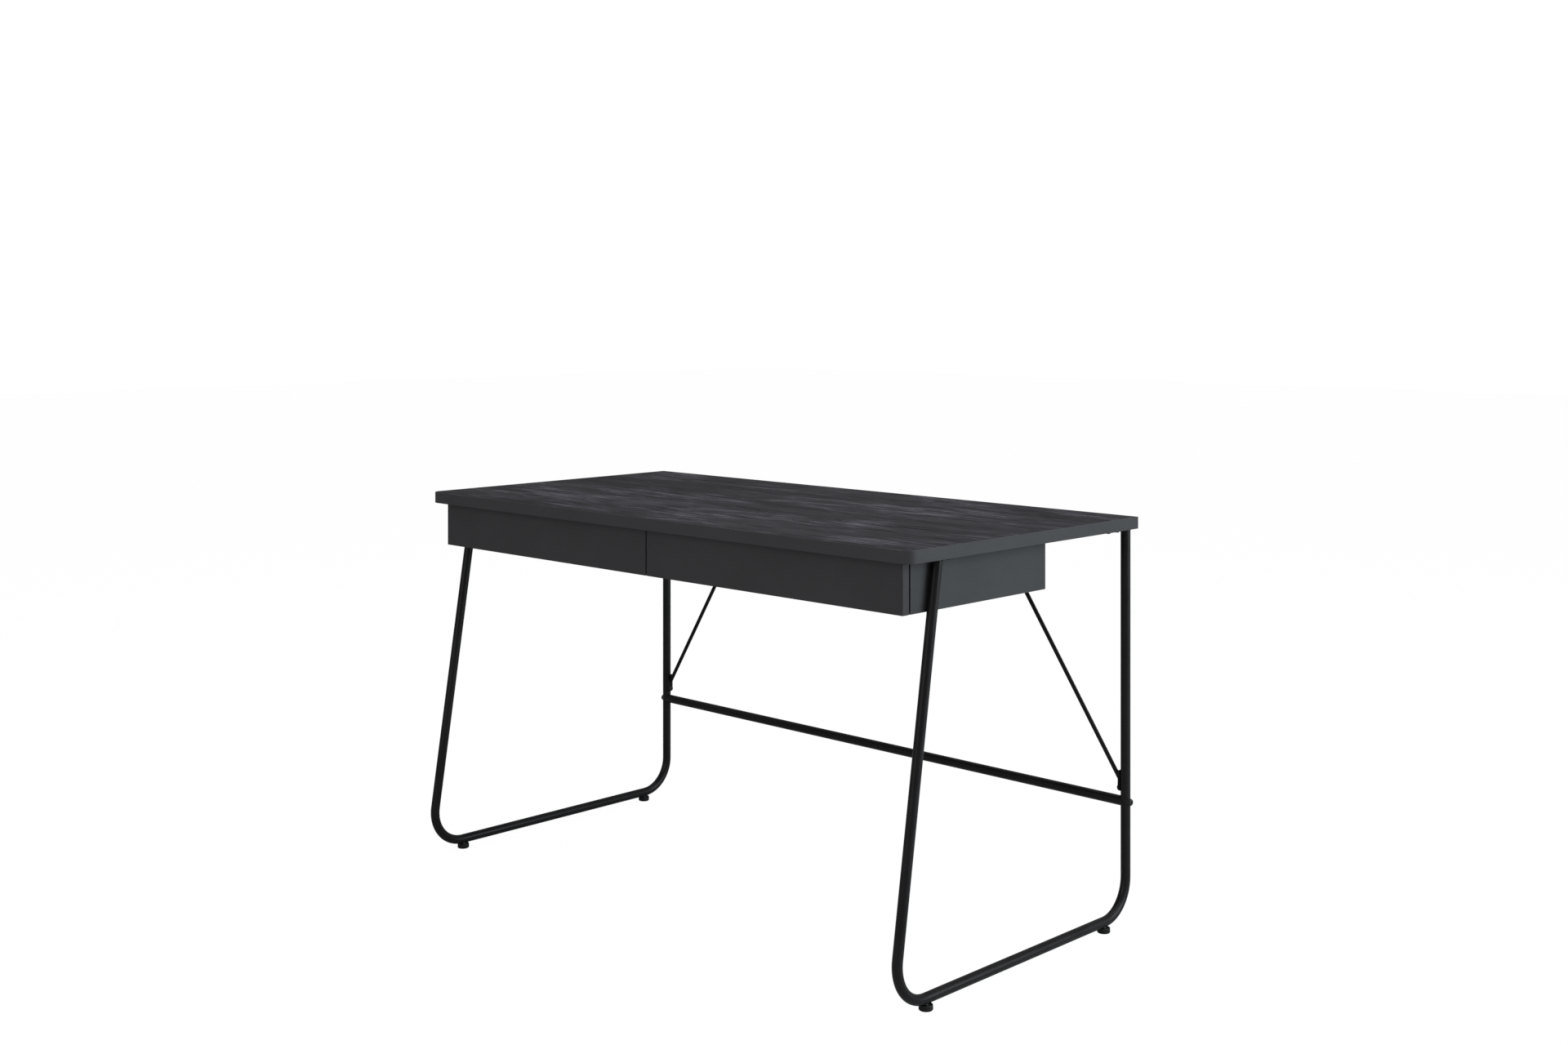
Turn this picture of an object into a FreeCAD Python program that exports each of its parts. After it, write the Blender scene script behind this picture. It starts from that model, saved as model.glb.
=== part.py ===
"""Writing desk with two drawers.

A laminated top on two bent steel tube frames, a shallow case of two drawers under the front,
a rear crossbar with two rod struts, and four levelling feet.  All lengths are in millimetres.

Frame: +X to the right, +Y to the back, +Z up.  The origin is on the floor, under the middle
of the bounding box.  Each sub-part is drawn about the middle of the top's depth, and put()
adds the step from there to the origin.
"""
import FreeCAD
import Part
import Sketcher
import math
import os
import re
import types

from FreeCAD import Placement, Rotation, Vector

SIZES = [
    ("top_width", 1300, "width of the top"),
    ("top_depth", 650, "depth of the top"),
    ("desk_height", 750, "floor to the top's upper face"),
    ("top_thickness", 22, "thickness of the top"),
    ("band_thickness", 1.2, "edge band round the top"),
    ("band_edge", 0.6, "rounding of the edge band"),
    ("corner_radius", 22, "front corners of the top"),
    ("case_width", 1238, "outer width of the drawer case"),
    ("case_depth", 366, "depth of the drawer case"),
    ("case_height", 87, "height of the drawer case"),
    ("panel_thickness", 16, "case panels and drawer fronts"),
    ("back_thickness", 12, "back panel of the case"),
    ("front_setback", 20, "top's front edge to the drawer fronts"),
    ("front_gap", 3, "gap behind and between the drawer fronts, and above them"),
    ("panel_edge", 0.8, "rounding of the fronts' and case sides' edges"),
    ("box_length", 345, "length of a drawer box"),
    ("box_height", 62, "height of a drawer box"),
    ("box_lift", 9, "case's lower edge to the drawer box's lower edge"),
    ("box_board", 12, "thickness of the drawer box's boards"),
    ("bottom_thickness", 5, "drawer bottom"),
    ("bottom_lift", 8, "box's lower edge to the drawer bottom"),
    ("groove_depth", 5, "groove that holds the drawer bottom"),
    ("rail_length", 340, "drawer runner"),
    ("rail_height", 35, "outer member of a runner"),
    ("rail_sheet", 1.5, "sheet that the runners are rolled from"),
    ("rail_space", 12.7, "room for a runner beside the drawer box"),
    ("rail_channel", 9.5, "width of the outer member"),
    ("slider_height", 21, "inner member of a runner"),
    ("slider_start", 3.6, "case panel to the inner member's lips"),
    ("cage_length", 100, "ball cage"),
    ("cage_height", 27.5, "ball cage over its two flanges"),
    ("cage_sheet", 1, "sheet of the ball cage"),
    ("cage_start", 2.1, "case panel to the ball cage"),
    ("cage_width", 6.5, "ball cage's flanges"),
    ("ball_line", 6, "case panel to the middles of the balls"),
    ("ball_diameter", 4.9, "bearing balls"),
    ("ball_pitch", 20, "distance between the balls of a row"),
    ("rail_pitch", 130, "distance between the screws of a runner"),
    ("pilot_diameter", 4.1, "screw holes in the boards"),
    ("pilot_depth", 7.5, "screw holes for the runners"),
    ("drill_over", 1, "screw holes in the top beyond the screws' tips"),
    ("screw_diameter", 4, "wood screws"),
    ("screw_head", 7, "countersunk heads in the runners"),
    ("head_gap", 0.05, "clearance round the countersunk heads"),
    ("slot_length", 4.2, "slots of the runner screws"),
    ("slot_width", 0.8, "width of the slots"),
    ("slot_depth", 0.6, "depth of the slots"),
    ("rail_screw", 7, "length of the runner screws in the wood"),
    ("bumper_diameter", 6, "rubber buffers behind the drawer fronts"),
    ("bumper_inset", 12, "upper and lower edges of the case to the buffers' middles"),
    ("tube_diameter", 18, "leg frames and crossbar"),
    ("tube_wall", 1.5, "wall of the tubes"),
    ("leg_gap", 0.5, "clearance between a leg frame and the side of the case"),
    ("leg_lean", 9, "degrees that the front legs lean from the vertical"),
    ("bend_radius", 68, "bends of the leg frames, on the tube's axis"),
    ("tube_lift", 10, "floor to the underside of the frame's floor run"),
    ("front_inset", 96, "top's front edge to the front leg's axis"),
    ("rear_inset", 9, "top's back edge to the rear leg's axis"),
    ("plate_width", 18, "mounting plate at the top of a leg"),
    ("plate_length", 72, "mounting plate, front to back"),
    ("plate_thickness", 3, "mounting plates and the struts' upper tabs"),
    ("plate_corner", 4, "rounding of the mounting plates"),
    ("plate_pitch", 28, "tube to screw on a mounting plate"),
    ("plate_hole", 4.6, "screw holes in plates and tabs"),
    ("pan_head", 8, "pan heads of the top's screws"),
    ("pan_height", 2.6, "height of the pan heads"),
    ("recess_length", 4.4, "cross recesses of the pan heads"),
    ("recess_width", 1, "width of the recesses' arms"),
    ("recess_depth", 1.2, "depth of the recesses"),
    ("top_screw", 14, "length of the top's screws in the wood"),
    ("bar_level", 224, "floor to the crossbar's axis"),
    ("plug_length", 25, "threaded plugs in the crossbar"),
    ("bolt_diameter", 6, "bolts of the crossbar and struts"),
    ("bolt_hole", 6.4, "bolt holes in tubes and tabs"),
    ("bolt_head", 13.4, "button heads of the bolts"),
    ("bolt_height", 4.8, "crossbar bolts' heads with their washers, above the tube"),
    ("tab_bolt_head", 12, "heads of the struts' bolts"),
    ("tab_bolt_height", 3.3, "height of the struts' bolt heads"),
    ("head_rounding", 2, "rounding of the bolt heads"),
    ("socket_flats", 4, "hexagon sockets across flats"),
    ("socket_depth", 2, "depth of the hexagon sockets"),
    ("strut_diameter", 8, "strut rods"),
    ("strut_inset", 23, "rear leg's axis inwards to the rod's axis at its lower end"),
    ("strut_level", 280, "floor to the rod's axis at its lower end"),
    ("strut_reach", 316, "middle of the desk to the rod's axis at the top's underside"),
    ("strut_forward", 10, "rear leg's axis forwards to the rod's upper end"),
    ("strut_bolt", 248, "floor to the strut's bolt"),
    ("strut_tab", 13, "width of the struts' tabs"),
    ("tab_length", 32, "struts' tabs, from their hole to their square end"),
    ("tab_thickness", 4, "struts' lower tabs"),
    ("tab_screw", 19.2, "rod's axis at the top's underside to the upper tab's screw"),
    ("foot_diameter", 24, "levelling feet"),
    ("foot_height", 9.7, "height of the levelling feet's pads"),
    ("foot_edge", 2.5, "rounding under the pads"),
    ("foot_inset", 3, "foot's axis to the end of the straight floor run"),
    ("fit_gap", 0.1, "clearance of plugs and saddles on the tubes"),
    ("stem_top", 21, "floor to the top of a foot's threaded stem"),
    ("insert_diameter", 9, "threaded inserts in the frames"),
    ("insert_bore", 6.1, "bore of the threaded inserts"),
    ("insert_top", 22, "floor to the top of the threaded inserts"),
]

TOUCH = 0.01   # lengths under this count as nothing when edges are chosen
LEFT, RIGHT = -1, 1
SIDES = {"left": LEFT, "right": RIGHT}
X_AXIS = Vector(1, 0, 0)
Y_AXIS = Vector(0, 1, 0)
Z_AXIS = Vector(0, 0, 1)

doc = FreeCAD.newDocument("WritingDesk")
sheet = doc.addObject("Spreadsheet::Sheet", "Sizes")
nodes = []


def fill_sheet():
    """Write the driving dimensions into the sheet and return them as numbers."""
    for row, (alias, number, meaning) in enumerate(SIZES, start=1):
        sheet.set(f"A{row}", meaning)
        sheet.set(f"B{row}", str(number))
        sheet.setAlias(f"B{row}", alias)
    doc.recompute()
    return types.SimpleNamespace(**{alias: float(sheet.get(alias)) for alias, _, _ in SIZES})


size = fill_sheet()
tube_radius = size.tube_diameter / 2
leg_spread = size.case_width / 2 + size.leg_gap + tube_radius
floor_axis = size.tube_lift + tube_radius
under_top = size.desk_height - size.top_thickness
frame_top = under_top - size.plate_thickness
lean = math.radians(size.leg_lean)
front_leg_y = size.front_inset - size.top_depth / 2
rear_leg_y = size.top_depth / 2 - size.rear_inset
bend_corner_y = front_leg_y - (under_top - floor_axis) * math.tan(lean)
front_tangent_y = bend_corner_y + size.bend_radius * math.tan(math.pi / 4 + lean / 2)
rear_tangent_y = rear_leg_y - size.bend_radius
front_reach = size.bend_radius + tube_radius - front_tangent_y
depth_shift = (front_reach - size.top_depth / 2) / 2
case_bottom = under_top - size.case_height
front_face_y = size.front_setback - size.top_depth / 2
front_back_y = front_face_y + size.panel_thickness
case_front_y = front_back_y + size.front_gap
case_back_y = case_front_y + size.case_depth
case_middle_y = (case_front_y + case_back_y) / 2
case_face_x = size.case_width / 2
bay_width = case_face_x - 1.5 * size.panel_thickness
bay_middle_x = (case_face_x - size.panel_thickness / 2) / 2
box_width = bay_width - 2 * size.rail_space
box_bottom = case_bottom + size.box_lift
box_middle_y = front_back_y + size.box_length / 2
rail_middle_y = front_back_y + size.box_length - size.rail_length / 2
rail_middle_z = box_bottom + size.box_height / 2
strut_screw_x = size.strut_reach - size.tab_screw
strut_high_y = rear_leg_y - size.strut_forward


# ---- helpers -------------------------------------------------------------------------------

def bind(item, prop, formula):
    """Bind a property to cells of the sheet.  Every alias has an underscore in it."""
    item.setExpression(prop, re.sub(r"[a-z]+(?:_[a-z]+)+", r"Sizes.\g<0>", formula))


def put(item, x=0, y=0, z=0, turn=Rotation()):
    """Place a sub-part and note it as a node; y counts from the middle of the top."""
    item.Placement = Placement(Vector(x, y + depth_shift, z), turn)
    nodes.append(item)
    return item


def new_body(label):
    """Start a PartDesign body that is one node."""
    body = doc.addObject("PartDesign::Body", label)
    body.Label = label
    return body


def new_sketch(body, name, role="XY_Plane", offset=0):
    """Add a sketch on one of the body's origin planes, moved along its normal by offset."""
    sketch = body.newObject("Sketcher::SketchObject", f"{body.Name}_{name}")
    plane = next(part for part in body.Origin.OriginFeatures if part.Role == role)
    sketch.AttachmentSupport = [(plane, "")]
    sketch.MapMode = "FlatFace"
    sketch.AttachmentOffset = Placement(Vector(0, 0, offset), Rotation())
    return sketch


def dimension(sketch, kind, where, number, formula):
    """Add a dimension to a sketch and bind it to a formula."""
    index = sketch.addConstraint(Sketcher.Constraint(kind, *where, number))
    bind(sketch, f"Constraints[{index}]", formula)


def draw_rectangle(sketch, width, depth, centre=(0, 0)):
    """Draw a rectangle about a centre, its sizes given as formulas."""
    first = sketch.GeometryCount
    x, y = centre
    corners = [Vector(x + i, y + j, 0) for i, j in ((-1, -1), (1, -1), (1, 1), (-1, 1))]
    for start, end in zip(corners, corners[1:] + corners[:1]):
        sketch.addGeometry(Part.LineSegment(start, end), False)
    middle = sketch.addGeometry(Part.Point(Vector(x, y, 0)), True)
    for side in range(4):
        following = first + (side + 1) % 4
        sketch.addConstraint(Sketcher.Constraint("Coincident", first + side, 2, following, 1))
    for side, kind in enumerate(("Horizontal", "Vertical", "Horizontal", "Vertical")):
        sketch.addConstraint(Sketcher.Constraint(kind, first + side))
    sketch.addConstraint(Sketcher.Constraint("Symmetric", first, 1, first + 2, 1, middle, 1))
    sketch.addConstraint(Sketcher.Constraint("DistanceX", -1, 1, middle, 1, x))
    sketch.addConstraint(Sketcher.Constraint("DistanceY", -1, 1, middle, 1, y))
    dimension(sketch, "DistanceX", (first, 1, first, 2), 2, width)
    dimension(sketch, "DistanceY", (first + 1, 1, first + 1, 2), 2, depth)


def draw_circle(sketch, centre, diameter):
    """Draw a circle about a centre, its diameter given as a formula."""
    x, y = centre
    circle = sketch.addGeometry(Part.Circle(Vector(x, y, 0), Z_AXIS, 1), False)
    sketch.addConstraint(Sketcher.Constraint("DistanceX", -1, 1, circle, 3, x))
    sketch.addConstraint(Sketcher.Constraint("DistanceY", -1, 1, circle, 3, y))
    dimension(sketch, "Diameter", (circle,), 2, diameter)


def draw_top_outline(sketch, trim):
    """Draw the top's outline with its two round front corners, trimmed inwards all round."""
    half_x = size.top_width / 2 - trim
    half_y = size.top_depth / 2 - trim
    radius = size.corner_radius - trim
    turn = math.pi / 2
    first = sketch.GeometryCount
    inner_x = half_x - radius
    inner_y = radius - half_y
    back, right, right_arc, front, left_arc, left = range(first, first + 6)
    for shape in (
        Part.LineSegment(Vector(-half_x, half_y, 0), Vector(half_x, half_y, 0)),
        Part.LineSegment(Vector(half_x, half_y, 0), Vector(half_x, inner_y, 0)),
        Part.ArcOfCircle(Part.Circle(Vector(inner_x, inner_y, 0), Z_AXIS, radius), -turn, 0),
        Part.LineSegment(Vector(inner_x, -half_y, 0), Vector(-inner_x, -half_y, 0)),
        Part.ArcOfCircle(
            Part.Circle(Vector(-inner_x, inner_y, 0), Z_AXIS, radius), 2 * turn, 3 * turn
        ),
        Part.LineSegment(Vector(-half_x, inner_y, 0), Vector(-half_x, half_y, 0)),
    ):
        sketch.addGeometry(shape, False)
    for kind, where in (
        ("Coincident", (back, 2, right, 1)),
        ("Coincident", (left, 2, back, 1)),
        ("Tangent", (right, 2, right_arc, 2)),
        ("Tangent", (right_arc, 1, front, 1)),
        ("Tangent", (front, 2, left_arc, 2)),
        ("Tangent", (left_arc, 1, left, 1)),
        ("Horizontal", (front,)),
        ("Vertical", (right,)),
        ("Vertical", (left,)),
        ("Equal", (right_arc, left_arc)),
        ("Symmetric", (back, 1, back, 2, -2)),
    ):
        sketch.addConstraint(Sketcher.Constraint(kind, *where))
    cut = "" if trim == 0 else " - band_thickness"
    dimension(sketch, "DistanceX", (back, 1, back, 2), 2 * half_x, f"top_width{cut * 2}")
    dimension(sketch, "DistanceY", (front, 1, back, 2), 2 * half_y, f"top_depth{cut * 2}")
    dimension(sketch, "DistanceY", (-1, 1, back, 2), half_y, f"top_depth / 2{cut}")
    dimension(sketch, "Radius", (right_arc,), radius, f"corner_radius{cut}")


def pad(body, sketch, length):
    """Pad a sketch by a formula's length along its normal."""
    feature = body.newObject("PartDesign::Pad", f"{body.Name}_pad")
    feature.Profile = sketch
    bind(feature, "Length", length)
    doc.recompute()
    return feature


def pocket(body, sketch, length, along_normal):
    """Cut a sketch into the body, and make sure that it takes material away."""
    before = body.Shape.Volume
    feature = body.newObject("PartDesign::Pocket", f"{body.Name}_pocket")
    feature.Profile = sketch
    feature.Reversed = along_normal
    bind(feature, "Length", length)
    doc.recompute()
    if body.Shape.Volume >= before:
        raise RuntimeError(f"{feature.Name} cuts nothing")


def round_edges(body, radius, choose):
    """Fillet the edges of the body's last feature that a test chooses."""
    base = body.Tip
    picked = [f"Edge{i}" for i, edge in enumerate(base.Shape.Edges, start=1) if choose(edge)]
    feature = body.newObject("PartDesign::Fillet", f"{body.Name}_fillet")
    feature.Base = (base, picked)
    bind(feature, "Radius", radius)
    doc.recompute()


def board(label, width, depth, height):
    """Start a board: its origin is the middle of its lower face."""
    body = new_body(label)
    sketch = new_sketch(body, "outline")
    draw_rectangle(sketch, width, depth)
    pad(body, sketch, height)
    return body


def drill(body, name, role, offset, centres, diameter, depth, along_normal):
    """Drill equal holes from a plane of the body."""
    sketch = new_sketch(body, name, role, offset)
    for centre in centres:
        draw_circle(sketch, centre, diameter)
    pocket(body, sketch, depth, along_normal)


def primitive(kind, name, sizes, at=Vector(), turn=Rotation()):
    """Make a Part primitive with its sizes bound to formulas."""
    item = doc.addObject(f"Part::{kind}", name)
    for prop, formula in sizes.items():
        bind(item, prop, formula)
    item.Placement = Placement(at, turn)
    return item


def fuse(label, pieces):
    """Fuse pieces into one solid."""
    item = doc.addObject("Part::MultiFuse", label)
    item.Shapes = pieces
    item.Label = label
    return item


def cut(label, base, tools):
    """Cut tools out of a base."""
    item = doc.addObject("Part::Cut", label)
    item.Base = base
    item.Tool = fuse(f"{label}_tools", tools) if len(tools) > 1 else tools[0]
    item.Label = label
    return item


def feature(label, shape):
    """Make a node from a shape that Part's own functions built."""
    item = doc.addObject("Part::Feature", label)
    item.Label = label
    item.Shape = shape
    return item


def cylinder(radius, length, start, direction):
    """Return a solid cylinder."""
    return Part.makeCylinder(radius, length, start, direction)


def centred_box(middle, width, depth, height):
    """Return a solid box about its middle."""
    return Part.makeBox(width, depth, height, middle - Vector(width, depth, height) / 2)


# ---- top -----------------------------------------------------------------------------------

def leg_plates(sign):
    """Yield each mounting plate of a side: its name, middle, and screw offsets along Y."""
    front_y = front_leg_y - size.plate_thickness * math.tan(lean)
    yield "front", Vector(sign * leg_spread, front_y, 0), (-size.plate_pitch, size.plate_pitch)
    rear_y = rear_leg_y - size.plate_pitch
    yield "rear", Vector(sign * leg_spread, rear_y, 0), (-size.plate_pitch, 0)


def top_screw_places(sign):
    """Return where the screws of a side enter the top, as x and y."""
    places = [
        (middle.x, middle.y + step)
        for _, middle, steps in leg_plates(sign)
        for step in steps
    ]
    places.append((sign * strut_screw_x, strut_high_y))
    return places


def make_top():
    """Make the laminated board, with the screw holes under it, and its edge band."""
    body = new_body("desk_top")
    outline = new_sketch(body, "outline")
    draw_top_outline(outline, size.band_thickness)
    pad(body, outline, "top_thickness")
    holes = top_screw_places(LEFT) + top_screw_places(RIGHT)
    drill(body, "screw_holes", "XY_Plane", 0, holes, "pilot_diameter", "top_screw + drill_over", True)
    put(body, z=under_top)

    band = new_body("top_edge_band")
    ring = new_sketch(band, "ring")
    draw_top_outline(ring, 0)
    draw_top_outline(ring, size.band_thickness)
    pad(band, ring, "top_thickness")
    round_edges(band, "band_edge", is_outer_rim)
    put(band, z=under_top)


def is_outer_rim(edge):
    """Tell whether an edge runs round the outside of the top's upper or lower face."""
    box = edge.BoundBox
    flat = box.ZLength < TOUCH
    clear = size.band_thickness / 2
    outside_x = max(-box.XMin, box.XMax) > size.top_width / 2 - clear
    outside_y = max(-box.YMin, box.YMax) > size.top_depth / 2 - clear
    return flat and (outside_x or outside_y)


# ---- drawer case ---------------------------------------------------------------------------

def rail_holes():
    """Return the screw places of a runner in a board's side, as y and z from the case."""
    middle_y = rail_middle_y - case_middle_y
    middle_z = rail_middle_z - case_bottom
    return [(middle_y + step * size.rail_pitch, middle_z) for step in (-1, 0, 1)]


def make_case():
    """Make the two sides, the divider and the back of the drawer case."""
    half = size.panel_thickness / 2
    holes = rail_holes()
    for side, sign in SIDES.items():
        panel = board(f"case_side_{side}", "panel_thickness", "case_depth", "case_height")
        round_edges(panel, "panel_edge", lambda edge: edge.BoundBox.ZLength < TOUCH)
        drill(
            panel, "rail_holes", "YZ_Plane", -sign * half, holes,
            "pilot_diameter", "pilot_depth", sign == RIGHT,
        )
        put(panel, sign * (case_face_x - half), case_middle_y, case_bottom)

    divider = board("case_divider", "panel_thickness", "case_depth - back_thickness", "case_height")
    holes = [(y + size.back_thickness / 2, z) for y, z in holes]
    for sign in SIDES.values():
        drill(
            divider, f"rail_holes_{sign + 1}", "YZ_Plane", sign * half, holes,
            "pilot_diameter", "pilot_depth", sign == LEFT,
        )
    put(divider, 0, case_middle_y - size.back_thickness / 2, case_bottom)

    back = board("case_back", "case_width - 2 * panel_thickness", "back_thickness", "case_height")
    put(back, 0, case_back_y - size.back_thickness / 2, case_bottom)


# ---- drawers -------------------------------------------------------------------------------

def make_drawer(name, sign):
    """Make one drawer: its front, two sides, back, bottom and buffers."""
    middle_x = sign * bay_middle_x
    front = board(
        f"drawer_{name}_front", "case_width / 2 - front_gap / 2", "panel_thickness",
        "case_height - front_gap",
    )
    round_edges(front, "panel_edge", lambda edge: True)
    front_x = sign * (case_face_x + size.front_gap / 2) / 2
    put(front, front_x, front_face_y + size.panel_thickness / 2, case_bottom)

    inner = "case_width / 2 - 1.5 * panel_thickness - 2 * rail_space - 2 * box_board"
    for side, hand in SIDES.items():
        make_drawer_side(f"drawer_{name}_side_{side}", middle_x, hand)

    bottom = board(
        f"drawer_{name}_bottom", f"{inner} + 2 * groove_depth", "box_length", "bottom_thickness",
    )
    put(bottom, middle_x, box_middle_y, box_bottom + size.bottom_lift)

    back = board(
        f"drawer_{name}_back", inner, "box_board", "box_height - bottom_lift - bottom_thickness",
    )
    back_y = front_back_y + size.box_length - size.box_board / 2
    put(back, middle_x, back_y, box_bottom + size.bottom_lift + size.bottom_thickness)

    make_buffers(name, sign)


def make_drawer_side(label, middle_x, hand):
    """Make a drawer side with the bottom's groove inside and the runner's holes outside."""
    side = board(label, "box_board", "box_length", "box_height")
    groove = new_sketch(side, "groove", "XZ_Plane", size.box_length / 2)
    groove_x = hand * (size.groove_depth - size.box_board) / 2
    groove_z = size.bottom_lift + size.bottom_thickness / 2
    draw_rectangle(groove, "groove_depth", "bottom_thickness", (groove_x, groove_z))
    pocket(side, groove, "box_length", False)
    holes = [
        (rail_middle_y - box_middle_y + step * size.rail_pitch, size.box_height / 2)
        for step in (-1, 0, 1)
    ]
    drill(
        side, "rail_holes", "YZ_Plane", hand * size.box_board / 2, holes,
        "pilot_diameter", "pilot_depth", hand == LEFT,
    )
    put(side, middle_x + hand * (box_width - size.box_board) / 2, box_middle_y, box_bottom)


def make_buffers(name, sign):
    """Make the rubber buffers between a drawer front and the case's front edges."""
    radius = size.bumper_diameter / 2
    near_x = size.panel_thickness / 4
    far_x = case_face_x - size.panel_thickness / 2
    low_z = case_bottom + size.bumper_inset
    high_z = under_top - size.bumper_inset
    pads = [
        cylinder(radius, size.front_gap, Vector(sign * x, front_back_y, z), Y_AXIS)
        for x in (near_x, far_x)
        for z in (low_z, high_z)
    ]
    put(feature(f"drawer_{name}_buffers", Part.makeCompound(pads)))


# ---- drawer runners ------------------------------------------------------------------------

def rail_turn(hand):
    """Return the turn that faces a runner's channel away from its case panel."""
    return Rotation(Z_AXIS, 180 if hand == RIGHT else 0)


def rail_place(sign, hand):
    """Return the middle of a runner on the face of its case panel."""
    x = sign * bay_middle_x + hand * bay_width / 2
    return Vector(x, rail_middle_y, rail_middle_z)


def channel(label, start, width, height, sheet_name, length, cavity_start):
    """Make a channel about its middle: a block less its cavity.  All sizes are formulas."""
    block = primitive("Box", f"{label}_block", {
        "Length": width, "Width": length, "Height": height,
        "Placement.Base.x": start,
        "Placement.Base.y": f"-({length}) / 2",
        "Placement.Base.z": f"-({height}) / 2",
    })
    cavity = primitive("Box", f"{label}_cavity", {
        "Length": f"{width} - {sheet_name}", "Width": f"{length} + 2 * {sheet_name}",
        "Height": f"{height} - 2 * {sheet_name}",
        "Placement.Base.x": cavity_start,
        "Placement.Base.y": f"-({length}) / 2 - {sheet_name}",
        "Placement.Base.z": f"-({height}) / 2 + {sheet_name}",
    })
    return block, cavity


def screw_cones(label, small_end, direction):
    """Make the three countersunk holes of a runner member."""
    turn = Rotation(Z_AXIS, X_AXIS * direction)
    return [
        primitive(
            "Cone", f"{label}_hole_{index}",
            {"Radius1": "pilot_diameter / 2", "Radius2": "screw_head / 2 + head_gap",
             "Height": "rail_sheet"},
            Vector(small_end, step * size.rail_pitch, 0), turn,
        )
        for index, step in enumerate((-1, 0, 1))
    ]


def make_runner(name, sign, side, hand):
    """Make a runner: case member, ball cage and drawer member."""
    place = rail_place(sign, hand)
    turn = rail_turn(hand)

    label = f"case_rail_{name}_{side}"
    block, cavity = channel(
        label, "0 mm", "rail_channel", "rail_height", "rail_sheet", "rail_length", "rail_sheet",
    )
    rail = cut(label, block, [cavity] + screw_cones(label, 0, 1))
    put(rail, *place, turn)

    label = f"drawer_rail_{name}_{side}"
    block, cavity = channel(
        label, "slider_start", "rail_space - slider_start", "slider_height", "rail_sheet",
        "rail_length", "slider_start",
    )
    slider = cut(label, block, [cavity] + screw_cones(label, size.rail_space, -1))
    put(slider, *place, turn)

    label = f"ball_cage_{name}_{side}"
    block, cavity = channel(
        label, "cage_start", "cage_width", "cage_height", "cage_sheet", "cage_length",
        "cage_start + cage_sheet",
    )
    strip = cut(f"{label}_strip", block, [cavity])
    row_z = (size.cage_height - size.cage_sheet) / 2
    balls = [
        primitive("Sphere", f"{label}_ball_{row + 1}_{index + 2}", {"Radius": "ball_diameter / 2"},
                  Vector(size.ball_line, index * size.ball_pitch, row * row_z))
        for row in (-1, 1)
        for index in (-2, -1, 0, 1, 2)
    ]
    cage = fuse(label, [strip] + balls)
    put(cage, *place, turn)


def rail_screw(start, direction):
    """Return a slotted countersunk screw, flush with a runner's sheet."""
    radius = size.screw_diameter / 2
    head = Part.makeCone(size.screw_head / 2, radius, size.rail_sheet, start, direction)
    tip = start + direction * size.rail_sheet
    shank = cylinder(radius, size.rail_screw, tip, direction)
    slot = centred_box(start, 2 * size.slot_depth, size.slot_length, size.slot_width)
    return head.fuse(shank).cut(slot).removeSplitter()


def make_rail_screws(name, sign):
    """Make the screws of a drawer's two runners, in the case and in the drawer box."""
    case_screws = []
    drawer_screws = []
    for hand in SIDES.values():
        place = rail_place(sign, hand)
        for step in (-1, 0, 1):
            at = place + Y_AXIS * step * size.rail_pitch
            outward = X_AXIS * hand
            case_screws.append(rail_screw(at - outward * size.rail_sheet, outward))
            inner = at - outward * (size.rail_space - size.rail_sheet)
            drawer_screws.append(rail_screw(inner, outward * -1))
    put(feature(f"case_rail_screws_{name}", Part.makeCompound(case_screws)))
    put(feature(f"drawer_rail_screws_{name}", Part.makeCompound(drawer_screws)))


# ---- leg frames ----------------------------------------------------------------------------

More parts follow.
